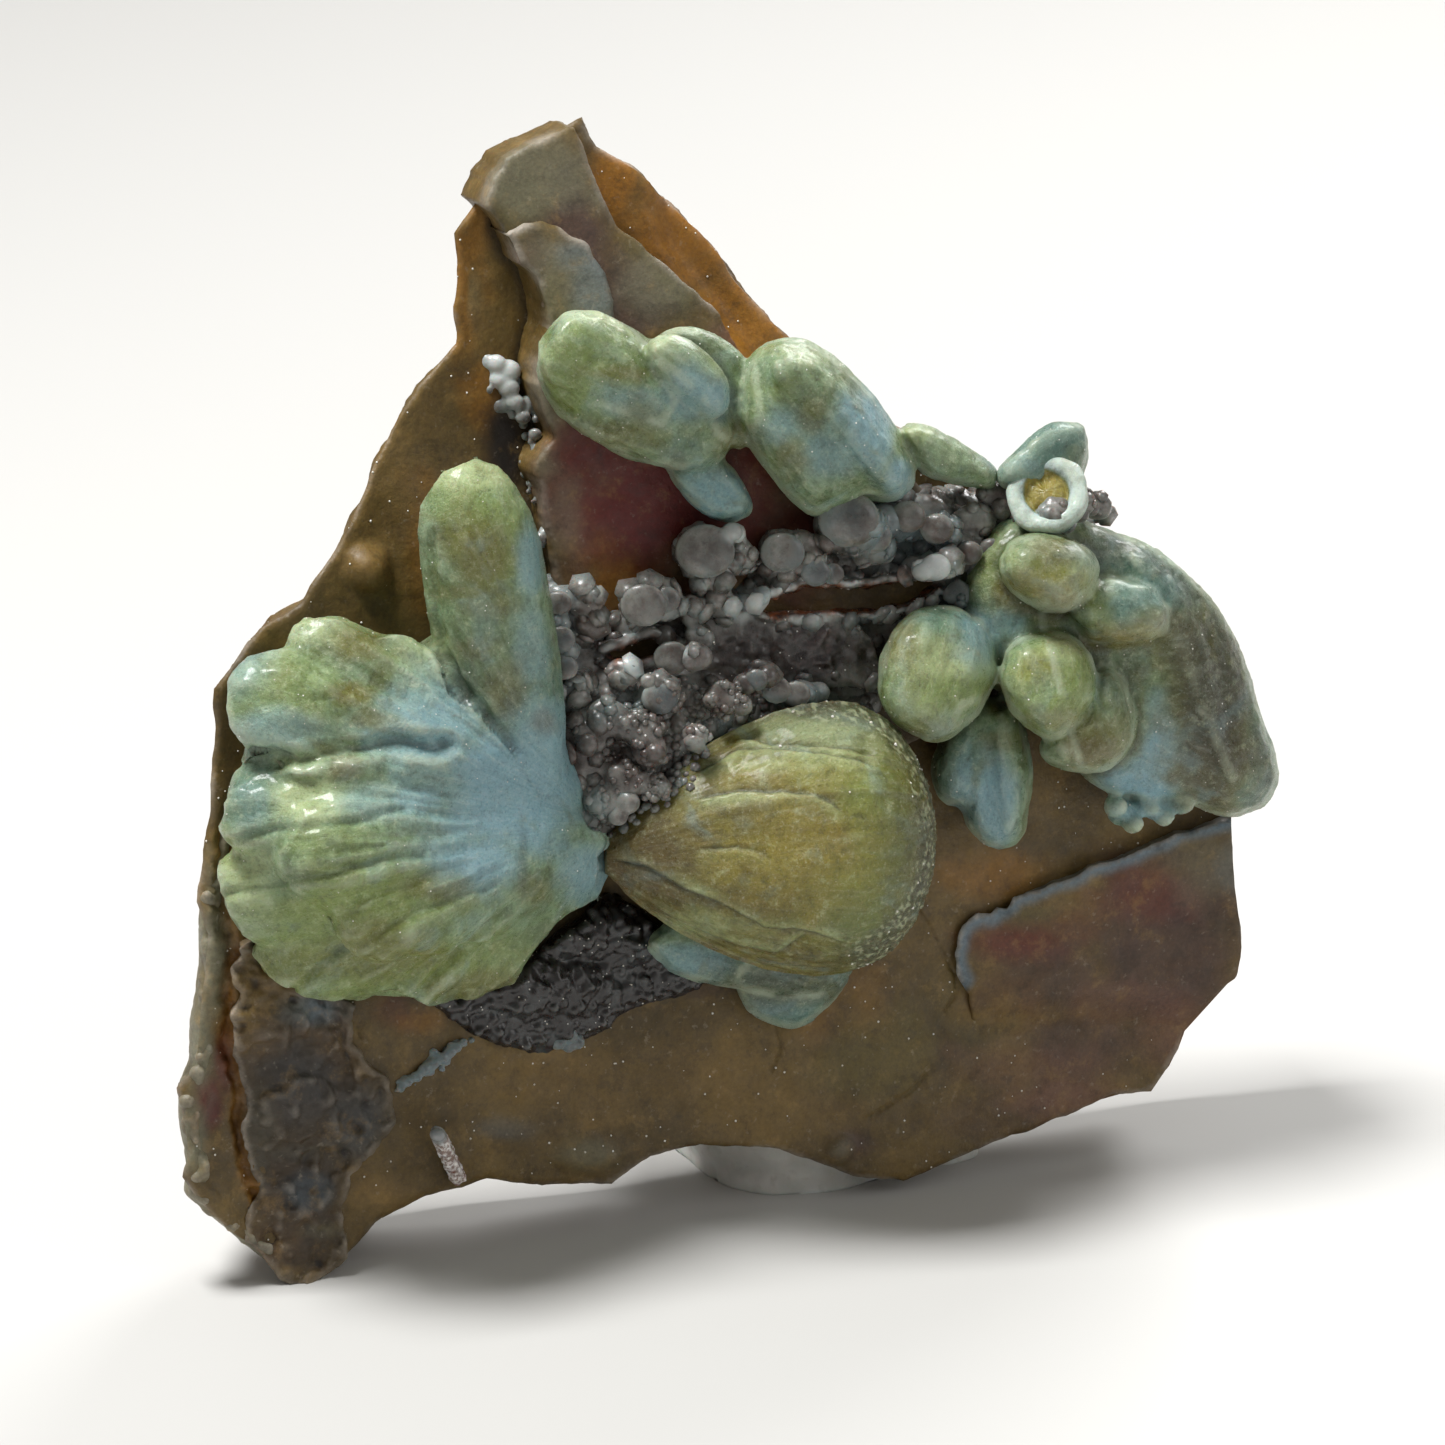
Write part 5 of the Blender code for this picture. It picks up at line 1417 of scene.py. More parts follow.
# Lumps as seen: x, y, out, radius in mm, and how flat.
CRUST_LUMPS = (
    (700, 548, 1.7, 1.0, 0.7), (733, 556, 1.8, 0.9, 0.7), (712, 575, 1.9, 0.9, 0.6), (734, 534, 2.7, 0.47, 1),
    (782, 550, 1.9, 0.95, 0.8), (778, 566, 1.9, 0.8, 0.8), (800, 545, 2.1, 0.7, 0.8), (848, 526, 2.4, 1.35, 0.9),
    (870, 545, 2.2, 0.9, 0.9), (882, 520, 2.0, 0.8, 0.9), (942, 530, 2.4, 0.75, 0.9), (925, 570, 3.2, 0.55, 0.6),
    (946, 566, 3.1, 0.6, 0.6), (806, 562, 2.6, 0.7, 0.5), (560, 600, 1.8, 0.6, 0.8), (556, 625, 2.0, 0.65, 0.7),
    (560, 655, 2.0, 0.7, 0.7), (572, 690, 2.0, 0.7, 0.7), (585, 600, 1.7, 0.8, 0.6), (592, 625, 1.6, 0.7, 0.7),
    (645, 600, 2.0, 1.0, 0.6), (668, 605, 2.1, 0.7, 0.7), (662, 590, 2.0, 0.6, 0.7), (692, 610, 2.0, 0.6, 0.8),
    (720, 605, 2.1, 0.7, 0.7), (697, 657, 3.3, 0.62, 1), (660, 695, 3.2, 0.85, 0.8), (648, 705, 3.0, 0.6, 0.8),
    (622, 672, 2.6, 0.6, 0.8), (700, 640, 2.4, 0.6, 0.8), (763, 678, 3.2, 0.8, 0.6), (745, 684, 3.3, 0.5, 0.7),
    (800, 696, 2.9, 0.75, 0.6), (818, 692, 2.9, 0.5, 0.6), (696, 735, 4.4, 0.52, 1), (650, 750, 4.0, 0.7, 0.8),
    (640, 730, 3.6, 0.8, 0.8), (720, 700, 3.6, 0.7, 0.8), (740, 705, 3.9, 0.5, 0.9), (610, 720, 2.9, 0.9, 0.8),
    (590, 740, 2.6, 0.8, 0.8), (625, 780, 3.4, 0.8, 0.8), (605, 800, 3.0, 0.8, 0.8), (655, 785, 3.9, 0.6, 0.8),
    (900, 520, 1.9, 0.9, 0.7), (960, 550, 2.2, 0.8, 0.7), (985, 560, 2.2, 0.8, 0.7), (975, 520, 1.9, 0.8, 0.7),
    (1000, 500, 1.8, 0.8, 0.7), (1030, 520, 2.6, 0.7, 0.8), (1056, 512, 3.9, 0.75, 0.9), (1080, 500, 3.2, 0.7, 0.9),
    (960, 594, 2.4, 0.6, 0.7), (1100, 505, 2.8, 0.6, 0.8),
)
CRUST_AREA = (
    (552, 590), (575, 585), (596, 600), (604, 640), (620, 615), (640, 590), (690, 596), (740, 585), (762, 560),
    (830, 520), (900, 495), (990, 490), (1060, 490), (1110, 510), (1010, 560), (990, 620), (890, 690), (870, 720),
    (800, 712), (720, 745), (660, 800), (610, 850), (570, 830), (560, 740), (550, 660),
)
SLIT_TOP = ((752, 604), (775, 592), (800, 583), (830, 582), (860, 584), (890, 578), (920, 570), (950, 566))
SLIT_BOTTOM = ((758, 612), (775, 622), (810, 619), (850, 615), (890, 614), (920, 604), (945, 590))
SLIT = (*SLIT_TOP, *SLIT_BOTTOM[::-1])
HOLLOW = ((604, 650), (626, 640), (650, 634), (676, 640), (690, 650), (672, 660), (640, 664), (612, 668))
DARK_PLATES = (
    ((768, 616), (830, 612), (868, 640), (880, 672), (868, 684), (820, 682), (790, 668), (772, 640)),
    ((700, 612), (768, 618), (796, 650), (806, 676), (770, 690), (720, 682), (690, 650)),
)
# Stains of the crust, and where its grains are fine.
CRUST_STAINS = {
    "plum": ((820, 650, 60, 40, 1), (750, 650, 50, 36, 0.8), (620, 740, 60, 50, 0.5), (640, 650, 50, 24, 0.8)),
    "pale": ((935, 568, 26, 14, 1), (734, 534, 13, 13, 0.7), (740, 612, 12, 10, 0.9), (848, 515, 40, 20, 0.4),
        (700, 540, 30, 24, 0.25)),
    "blue": ((890, 530, 50, 40, 0.7), (942, 530, 26, 24, 0.8), (800, 696, 40, 16, 0.7), (560, 650, 20, 60, 0.6),
        (970, 600, 40, 40, 0.5), (560, 600, 20, 20, 0.5)),
    "fine": ((660, 740, 60, 60, 1), (720, 705, 60, 30, 1), (620, 800, 40, 40, 0.8), (680, 780, 30, 30, 1)),
}
# Stains of the loose balls.
LOOSE_STAINS = {
    "pale": ((500, 372, 24, 20, 0.9), (520, 400, 20, 20, 0.4), (936, 568, 24, 18, 0.9), (732, 533, 12, 12, 0.6),
        (432, 1066, 50, 34, 0.08)),
    "blue": ((432, 1066, 60, 50, 1), (565, 1040, 30, 20, 0.6), (597, 841, 20, 20, 1)),
}


def grown_grains(name, base, radius, spread, amount, seed, material, mask):
    """Scatters small balls over a mesh with Geometry Nodes and returns them as one mesh object."""
    tree = bpy.data.node_groups.new(f"{name} scatter", "GeometryNodeTree")
    sockets = tree.interface
    sockets.new_socket("Geometry", in_out="INPUT", socket_type="NodeSocketGeometry")
    wanted = (
        ("Per square mm", "NodeSocketFloat", amount), ("Smallest", "NodeSocketFloat", radius[0]),
        ("Largest", "NodeSocketFloat", radius[1]), ("Flatness", "NodeSocketFloat", spread),
        ("Seed", "NodeSocketInt", seed),
    )
    for label, kind, _ in wanted:
        sockets.new_socket(label, in_out="INPUT", socket_type=kind)
    sockets.new_socket("Geometry", in_out="OUTPUT", socket_type="NodeSocketGeometry")
    nodes, links = tree.nodes, tree.links
    given, result = nodes.new("NodeGroupInput"), nodes.new("NodeGroupOutput")
    spread_points = nodes.new("GeometryNodeDistributePointsOnFaces")
    grain = nodes.new("GeometryNodeMeshIcoSphere")
    grain.inputs["Radius"].default_value = 1
    grain.inputs["Subdivisions"].default_value = 1
    size, turn = nodes.new("FunctionNodeRandomValue"), nodes.new("FunctionNodeRandomValue")
    turn.data_type = "FLOAT_VECTOR"
    turn.inputs[1].default_value = (6.28, 6.28, 6.28)
    flatten = nodes.new("ShaderNodeCombineXYZ")
    flat = nodes.new("ShaderNodeMath")
    flat.operation = "MULTIPLY"
    put = nodes.new("GeometryNodeInstanceOnPoints")
    real, paint = nodes.new("GeometryNodeRealizeInstances"), nodes.new("GeometryNodeSetMaterial")
    density = given.outputs["Per square mm"]
    if mask:
        held = nodes.new("GeometryNodeInputNamedAttribute")
        held.inputs["Name"].default_value = mask
        times = nodes.new("ShaderNodeMath")
        times.operation = "MULTIPLY"
        links.new(density, times.inputs[0])
        links.new(held.outputs["Attribute"], times.inputs[1])
        density = times.outputs[0]
    chosen = size.outputs[1]
    for source, target in (
        (given.outputs["Geometry"], spread_points.inputs["Mesh"]),
        (density, spread_points.inputs["Density"]),
        (given.outputs["Seed"], spread_points.inputs["Seed"]),
        (given.outputs["Seed"], size.inputs["Seed"]),
        (given.outputs["Smallest"], size.inputs[2]),
        (given.outputs["Largest"], size.inputs[3]),
        (chosen, flatten.inputs[0]),
        (chosen, flatten.inputs[1]),
        (chosen, flat.inputs[0]),
        (given.outputs["Flatness"], flat.inputs[1]),
        (flat.outputs[0], flatten.inputs[2]),
        (spread_points.outputs["Points"], put.inputs["Points"]),
        (grain.outputs["Mesh"], put.inputs["Instance"]),
        (spread_points.outputs["Rotation"], put.inputs["Rotation"]),
        (flatten.outputs[0], put.inputs["Scale"]),
        (put.outputs["Instances"], real.inputs["Geometry"]),
        (real.outputs["Geometry"], paint.inputs["Geometry"]),
        (paint.outputs["Geometry"], result.inputs["Geometry"]),
    ):
        links.new(source, target)
    paint.inputs["Material"].default_value = material
    obj = new_object(name, base.copy())
    modifier = obj.modifiers.new("scatter", "NODES")
    modifier.node_group = tree
    labels = {item.name: item.identifier for item in sockets.items_tree if item.in_out == "INPUT"}
    for label, _, value in wanted:
        modifier[labels[label]] = value
    return applied(obj)


def edged(obj, gain, most):
    """Paints the grains' proud tops paler as a highlight (rim) and what lies between them darker as shade (groove).
    """
    proud = sharpness(obj.data, 2)
    set_attribute(obj, "rim", np.clip((proud - 0.012) * gain, 0, most))
    set_attribute(obj, "groove", np.clip((-proud - 0.01) * 22, 0, 1))


def crust_bed(spots):
    """How far out the crust's bed lies: it climbs against the fan and the great barrel."""
    across, up = spots.T
    lift = 1.9 * blots(spots, ((640, 760, 90, 90, 1), (700, 720, 70, 40, 0.8), (600, 820, 50, 40, 0.7)), 91, 0.15)
    return upper_height(across, up) + 0.55 + lift


# How many small balls lie on the crust's bed, and how many on each of its larger lumps.
BED_BALLS = 1500
LUMP_GRAINS = 7


def crust_piece(finish):
    line = roughened(seen(*CRUST_AREA), 0.3, 0.25, 1.4, 93)
    flat, *_ = filled(line, 0.3)
    border = np.abs(line_distance(flat, line[::2], closed=True))
    hollow = smooth(0.35, -0.1, line_gap(flat, HOLLOW, closed=True))
    slit = smooth(0.3, -0.2, line_gap(flat, SLIT, closed=True))
    height = crust_bed(flat) + 0.35 * wave(flat, 1.6, 95, 3) - 0.9 * smooth(0.5, 0, border)
    height = height - hollow - 0.8 * slit
    top = place(flat[:, 0], flat[:, 1], height)
    shells = []
    rng = np.random.default_rng(12)
    for x, y, out, radius, flatness in CRUST_LUMPS:
        centre = seen_place(x, y, out)
        shells.append(ball(centre, radius, (1, 1, flatness)))
        if radius < 0.55:
            continue
        for _ in range(LUMP_GRAINS):
            turn = rng.uniform(0, 2 * math.pi)
            off = np.array((math.cos(turn), math.sin(turn))) * radius * rng.uniform(0.55, 0.8)
            spot = seen((x, y))[0] + off
            small = radius * rng.uniform(0.3, 0.5)
            level = out + radius * flatness * rng.uniform(-0.1, 0.35)
            shells.append(small_ball(spot, level, small, (1, 1, flatness)))
    # The bed itself is covered with balls, so that it fuses with the lumps.
    bed_rng = np.random.default_rng(14)
    chosen = bed_rng.permutation(len(flat))[:BED_BALLS]
    for number in chosen:
        if slit[number] > 0.5:
            radius = 0.2
        elif hollow[number] > 0.6:
            radius = 0.3
        else:
            radius = bed_rng.uniform(0.28, 0.62)
        shells.append(ball(top[number] - OUT * radius * 0.9, radius, (1, 1, 0.9), SMALL_BALL))
    under = place(flat[:, 0], flat[:, 1], height - 0.45)
    for number in range(0, len(flat), 3):
        shells.append(ball(under[number], 0.42, (1, 1, 1), SMALL_BALL))
    # Rims of the split slit and of the hollow: short rows of grains.
    for line_places, out_shift, thick in ((SLIT_TOP, 1.1, 0.17), (SLIT_BOTTOM, 0.75, 0.15), (HOLLOW, 0.55, 0.2)):
        spots = seen(*line_places)
        for start, end in zip(spots[:-1], spots[1:]):
            count = max(2, round(np.linalg.norm(end - start) / 0.14))
            for n in range(count):
                spot = start + (end - start) * n / count + rng.normal(0, 0.05, 2)
                level = float(crust_bed(spot[None, :])[0]) + out_shift * rng.uniform(0.6, 1.0)
                shells.append(small_ball(spot, level, thick * rng.uniform(0.8, 1.3)))
                shells.append(small_ball(spot, level - 0.4, thick * 1.3))
    for number, plate in enumerate(DARK_PLATES):
        shape = roughened(seen(*plate), 0.25, 0.12, 0.9, 97 + number)
        spots, *_ = filled(shape, 0.26)
        tilt = float(crust_bed(shape.mean(0)[None, :])[0]) + 0.55 - 0.25 * number
        for spot in spots:
            level = tilt + 0.12 * (spot[0] - shape[:, 0].mean()) + 0.05 * rng.normal()
            shells.append(small_ball(spot, level, 0.2, (1.1, 1.1, 0.8)))
    obj = fused("grey_crust_skin", shells, 0.125, 1)
    points = points_of(obj.data)
    spots = looked_at(points)
    flat = spots[:, :2]
    # Painted highlights on the grains' proud tops and painted shade between them.
    edged(obj, 16, 1)
    slit = smooth(0.06, -0.1, line_gap(flat, SLIT, closed=True))
    hollow = smooth(0.1, -0.15, line_gap(flat, HOLLOW, closed=True))
    set_attribute(obj, "rust", np.maximum(slit, hollow * 0.8))
    plum = blots(flat, CRUST_STAINS["plum"], 25)
    set_attribute(obj, "plum", plum)
    lips = np.minimum(line_gap(flat, SLIT_TOP), np.minimum(line_gap(flat, SLIT_BOTTOM), line_gap(flat, HOLLOW)))
    lips = 0.75 * smooth(0.26, 0.08, lips) * smooth(-0.5, 0.4, wave(points, 0.7, 38, 2))
    set_attribute(obj, "pale", np.maximum(lips, blots(flat, CRUST_STAINS["pale"], 27, 0.2)))
    set_attribute(obj, "blue", blots(flat, CRUST_STAINS["blue"], 29, 0.3))
    fine = blots(flat, CRUST_STAINS["fine"], 33, 0.2)
    facing = smooth(0.1, 0.5, normals_of(obj.data) @ OUT) * (1 - slit) * (1 - hollow)
    set_attribute(obj, "grapes", facing * fine)
    broad = blots(flat, [(x, y, size * 25, size * 25, 1) for x, y, _, size, _ in CRUST_DISCS], 39, 0.1)
    set_attribute(obj, "coarse", facing * (1 - 0.7 * fine) * (1 - np.minimum(1.3 * plum, 1)) * (1 - broad))
    return settle(obj, finish, "crust", "grey_crust")


# Single glassy balls that lie over the great barrel and beside it: x, y, out and radius in the photograph's units.
LOOSE_BALLS = (
    (695, 735, 4.1, 13), (626, 801, 3.6, 14), (618, 816, 3.6, 10), (697, 657, 3.2, 14), (1045, 516, 3.8, 11),
    (1058, 513, 3.8, 10), (1070, 507, 3.7, 11), (1052, 524, 3.6, 12), (1066, 522, 3.6, 12), (1036, 519, 3.5, 11),
    (1080, 512, 3.4, 11), (1092, 506, 3.1, 10),
)
# Broad flat discs of the crust: x, y, out, radius in mm, and how flat.
CRUST_DISCS = (
    (705, 552, 2.5, 1.2, 0.4), (732, 533, 3.0, 0.42, 0.9), (782, 553, 2.6, 0.9, 0.5), (848, 520, 3.1, 1.25, 0.55),
    (872, 536, 3.0, 0.8, 0.5), (908, 516, 2.6, 0.72, 0.6), (937, 528, 2.9, 0.7, 0.6), (936, 567, 3.5, 0.62, 0.5),
    (922, 572, 3.4, 0.42, 0.6), (815, 573, 3.0, 0.62, 0.4), (832, 574, 3.0, 0.5, 0.4), (644, 606, 2.7, 0.95, 0.4),
    (666, 600, 2.6, 0.6, 0.5), (672, 658, 2.9, 0.75, 0.4), (660, 698, 3.6, 0.75, 0.45), (776, 690, 3.6, 0.62, 0.4),
    (796, 694, 3.4, 0.6, 0.4), (756, 680, 3.6, 0.5, 0.45), (562, 640, 2.5, 0.6, 0.5), (566, 668, 2.6, 0.55, 0.5),
    (560, 604, 2.3, 0.55, 0.5), (970, 552, 2.9, 0.55, 0.6), (992, 548, 2.8, 0.5, 0.6),
)
# Small lumps along the plate's ledges: x, y, size and height over the plate in mm.
LEDGE_LUMPS = (
    (498, 366, 0.45, 0.2), (510, 373, 0.55, 0.3), (510, 390, 0.5, 0.35), (500, 382, 0.42, 0.2),
    (516, 404, 0.42, 0.5), (524, 419, 0.36, 0.6), (536, 436, 0.32, 0.8), (538, 452, 0.32, 0.8),
    (532, 466, 0.28, 0.7), (535, 484, 0.3, 0.7), (541, 500, 0.28, 0.8), (541, 540, 0.35, 0.9),
    (400, 1088, 0.2, 0.15), (407, 1082, 0.26, 0.2), (416, 1077, 0.28, 0.2), (424, 1070, 0.3, 0.2),
    (433, 1064, 0.28, 0.2), (441, 1059, 0.3, 0.2), (449, 1053, 0.28, 0.2), (456, 1048, 0.26, 0.2),
    (463, 1042, 0.2, 0.15), (430, 1072, 0.22, 0.15), (446, 1062, 0.22, 0.15), (565, 1036, 0.5, 0.1),
    (575, 1044, 0.4, 0.1), (556, 1044, 0.38, 0.1),
)


def grape_pieces(crust, golden, finish):
    """Round grains over the crust's bed: fine ones on its slope, broader flat ones elsewhere."""
    base = crust.data.copy()
    move_points(base, points_of(base) / MM)
    slope = golden.data.copy()
    move_points(slope, points_of(slope) / MM)
    for name, bed, radius, flat, amount, seed, mask in (
        ("crust_grapes", base, (0.1, 0.26), 0.9, 8.5, 22, "grapes"),
        ("crust_discs", base, (0.16, 0.66), 0.34, 2.4, 23, "coarse"),
        ("slope_grapes", slope, (0.13, 0.27), 0.9, 11.0, 24, "grapes"),
    ):
        obj = grown_grains(name, bed.copy(), radius, flat, amount, seed, finish, mask)
        rounded(obj)
        settle(obj, finish, "crust")
    shells = [ball(seen_place(x, y, out), size * FRAME_STEP) for x, y, out, size in LOOSE_BALLS]
    shells += [ball(seen_place(x, y, out), size, (1, 1, flat)) for x, y, out, size, flat in CRUST_DISCS]
    rng = np.random.default_rng(65)
    for x, y, size, lift in LEDGE_LUMPS:
        spot = seen((x, y))[0]
        level = float(base_height(*spot)) + lift
        for n in range(8):
            off = rng.normal(0, 0.8 * size, 2) * (n > 0)
            radius = size * (0.9 if n == 0 else rng.uniform(0.35, 0.85))
            shells.append(ball(place(*(spot + off), level - 0.1 * n), radius, (1, 1, 0.8)))
    obj = fused("loose_grapes", shells, 0.075, 3)
    webbed(obj, 4)
    spots = rounded(obj)
    change(obj, "pale", blots(spots, LOOSE_STAINS["pale"], 35, 0.2))
    raised(obj, "blue", blots(spots, LOOSE_STAINS["blue"], 36, 0))
    return settle(obj, finish, "crust")


def rounded(obj):
    """Gives separate grains the crust's attributes: painted pale rims where they turn from the eye, painted shade
    where they face the bed, and darker where they face straight out.
    """
    points = points_of(obj.data)
    spots = looked_at(points)[:, :2]
    facing = normals_of(obj.data) @ OUT
    set_attribute(obj, "rim", 0.75 * smooth(0.85, 0.4, facing) * smooth(0.0, 0.3, facing))
    set_attribute(obj, "groove", 0.85 * smooth(0.25, -0.3, facing) + 0.45 * smooth(0.8, 0.97, facing))
    for name in ("rust", "plum", "pale"):
        set_attribute(obj, name, np.zeros(len(points)))
    set_attribute(obj, "blue", 0.5 * smooth(0.1, 0.6, wave(points, 1.6, 37, 2)))
    return spots


def crust_finish():
    made = Finish("grey grape-like crust")
    base = made.mix(made.span(made.noise(1.0, 6, 0.7), 0.35, 0.65), "59544f", "8f8e88")
    patches = made.noise(2.4, 4, 0.6)
    base = made.mix(made.span(patches, 0.5, 0.66, 0.0, 0.7), base, "4a3a33")
    base = made.mix(made.span(patches, 0.48, 0.34, 0.0, 0.7), base, "7c8886")
    plum = made.mix(made.span(made.noise(0.5, 5, 0.7), 0.4, 0.66), "1f1616", "4a3d3b")
    base = made.mix(made.attribute("plum"), base, plum)
    base = made.mix(made.attribute("blue"), base, "67797e")
    # Painted shade between the grains.
    base = made.mix(made.attribute("groove"), base, "1f1a19")
    rust = made.mix(made.span(made.noise(0.3, 4), 0.35, 0.65), "2a150e", "7a4628")
    base = made.mix(made.attribute("rust"), base, rust)
    # Painted highlight on the grains' rims.
    base = made.mix(made.times(made.attribute("rim"), 0.7), base, "a3a8a2")
    base = made.mix(made.attribute("pale"), base, "c4cac8")
    rough = made.span(made.noise(0.4, 3), 0.3, 0.7, 0.22, 0.42)
    relief = made.bump(made.noise(0.16, 5, 0.7), 0.4, 0.04)
    return made.finish(base, rough, relief, Subsurface_Weight=0.25, Subsurface_Scale=0.0006, Coat_Weight=0.3,
        Coat_Roughness=0.15)


DRUSE_AREA = (
    (430, 1000), (470, 985), (520, 975), (570, 940), (610, 900), (650, 930), (700, 960), (690, 985), (620, 1010),
    (580, 1035), (540, 1046), (500, 1042), (470, 1030),
)


def druse_piece(finish):
    """The dark sparkling druse under the fan: a bed of small blunt grains on the plate."""
    area = roughened(seen(*DRUSE_AREA), 0.3, 0.3, 1.4, 101)
    flat, *_ = filled(area, 0.24)
    rng = np.random.default_rng(31)
    level = base_height(*flat.T) + 0.15 + 0.9 * blots(flat,
        ((580, 930, 60, 30, 1), (550, 990, 60, 30, 0.9), (630, 940, 50, 26, 0.8)), 103, 0.2)
    shells = []
    for spot, out in zip(flat, level):
        radius = rng.uniform(0.12, 0.3)
        shells.append(small_ball(spot + rng.normal(0, 0.06, 2), out - radius * 0.2 + rng.uniform(0, 0.25), radius))
        shells.append(small_ball(spot, out - 0.6, 0.4, (1, 1, 1.6)))
    obj = fused("dark_druse", shells, 0.1, 0)
    # Painted highlights on the grains' proud tops; the painted shade between them is then raised over the whole bed
    # below, where it is the druse's own dark colour.
    edged(obj, 12, 0.3)
    spots = looked_at(points_of(obj.data))[:, :2]
    for name in ("rust", "pale"):
        set_attribute(obj, name, np.zeros(len(spots)))
    raised(obj, "groove", 1.0 + 0.3 * wave(spots, 0.5, 106, 3))
    set_attribute(obj, "plum", np.full(len(spots), 0.3))
    set_attribute(obj, "blue", 0.4 + blots(spots, ((560, 930, 50, 26, 0.5), (640, 950, 40, 20, 0.5)), 105))
    return settle(obj, finish, "crust")


# ---------------------------------------------------------------- putty, needle and dust


def putty_piece():
    points, faces = icosphere(4)
    size = (np.abs(points) ** 2.8).sum(1) ** (1 / 2.8)
    square = points / size[:, None]
    dent = 1 - 0.1 * np.sin(3.1 * square[:, 0] + 1) - 0.06 * np.sin(5 * square[:, 0] + 2 * square[:, 2])
    body = np.column_stack(
        (square[:, 0] * 6.2, square[:, 1] * 5.5 * dent, square[:, 2] * 6.2 * (1 - 0.12 * square[:, 0]) + 1.5)
    )
    obj = fused("putty_lump", [(body, faces)], 0.22, 0)
    points, normals = points_of(obj.data), normals_of(obj.data)
    folds = wave(points * (0.5, 0.8, 1.4), 1.6, 111, 3)
    prints = np.abs(wave(points, 3.0, 113, 2))
    creases = smooth(0.25, 0.0, np.abs(wave(points * (0.4, 0.7, 1.2), 2.6, 115, 2)))
    height = 0.16 * folds - 0.3 * creases * 0.6 - 0.12 * prints
    points = points + normals * (height - 0.05)[:, None]
    # The lump is flat where it rests on the ground.
    points[:, 2] = np.maximum(points[:, 2], 0)
    move_points(obj.data, points)
    made = Finish("white putty")
    base = made.mix(made.span(made.noise(2.2, 4), 0.3, 0.7), "c4c3bd", "dcdbd6")
    base = made.mix(made.span(made.noise(0.5, 4), 0.55, 0.75, 0, 0.4), base, "aaa79e")
    relief = made.bump(made.noise(0.5, 5), 0.35, 0.08)
    material = made.finish(base, made.span(made.noise(0.8, 3), 0.3, 0.7, 0.42, 0.6), relief, Subsurface_Weight=0.2,
        Subsurface_Scale=0.001)
    return settle(obj, material, "putty", "putty_foot")


def needle_piece():
    tip = ball(seen_place(438, 1134, 1.9), 7.6 * FRAME_STEP)
    obj = fused("clear_tipped_spike", [barrel_shell(NEEDLE._replace(radius=0.34), 120, facets=0.9, uneven=0.08), tip],
        0.05, 1)
    points = points_of(obj.data)
    share = nearest_barrel(points, (NEEDLE,))[:, 1]
    normals = normals_of(obj.data)
    move_points(obj.data, points + normals * (0.05 * wave(points, 0.22, 121, 2) * smooth(0.85, 0.6, share))[:, None])
    set_attribute(obj, "tip", smooth(0.74, 0.84, share))
    set_attribute(obj, "red", smooth(0.55, 0.15, share) * smooth(-0.3, 0.3, wave(points, 0.4, 123, 2)))
    made = Finish("clear spike")
    base = made.mix(made.span(made.noise(0.2, 4, 0.7), 0.4, 0.62), "8d7a72", "e6e4e2")
    base = made.mix(made.attribute("red"), base, "6a2a20")
    base = made.mix(made.attribute("tip"), base, "8b8f90")
    relief = made.bump(made.noise(0.12, 3), 0.6, 0.05)
    material = made.finish(base, 0.16, relief, Subsurface_Weight=0.2, Subsurface_Scale=0.0004, Coat_Weight=0.4,
        Coat_Roughness=0.05)
    return settle(obj, material, "clear_crystal", "clear_needle")


# The ring's section: radius and height in mm.
RING_ROWS = (
    (0.0, -1.6), (1.3, -1.5), (1.55, -0.3), (1.68, 0.1), (1.62, 0.34), (1.42, 0.46), (1.16, 0.44), (0.97, 0.32),
    (0.87, 0.12), (0.8, 0.0), (0.6, 0.1), (0.3, 0.18), (0.0, 0.2),
)


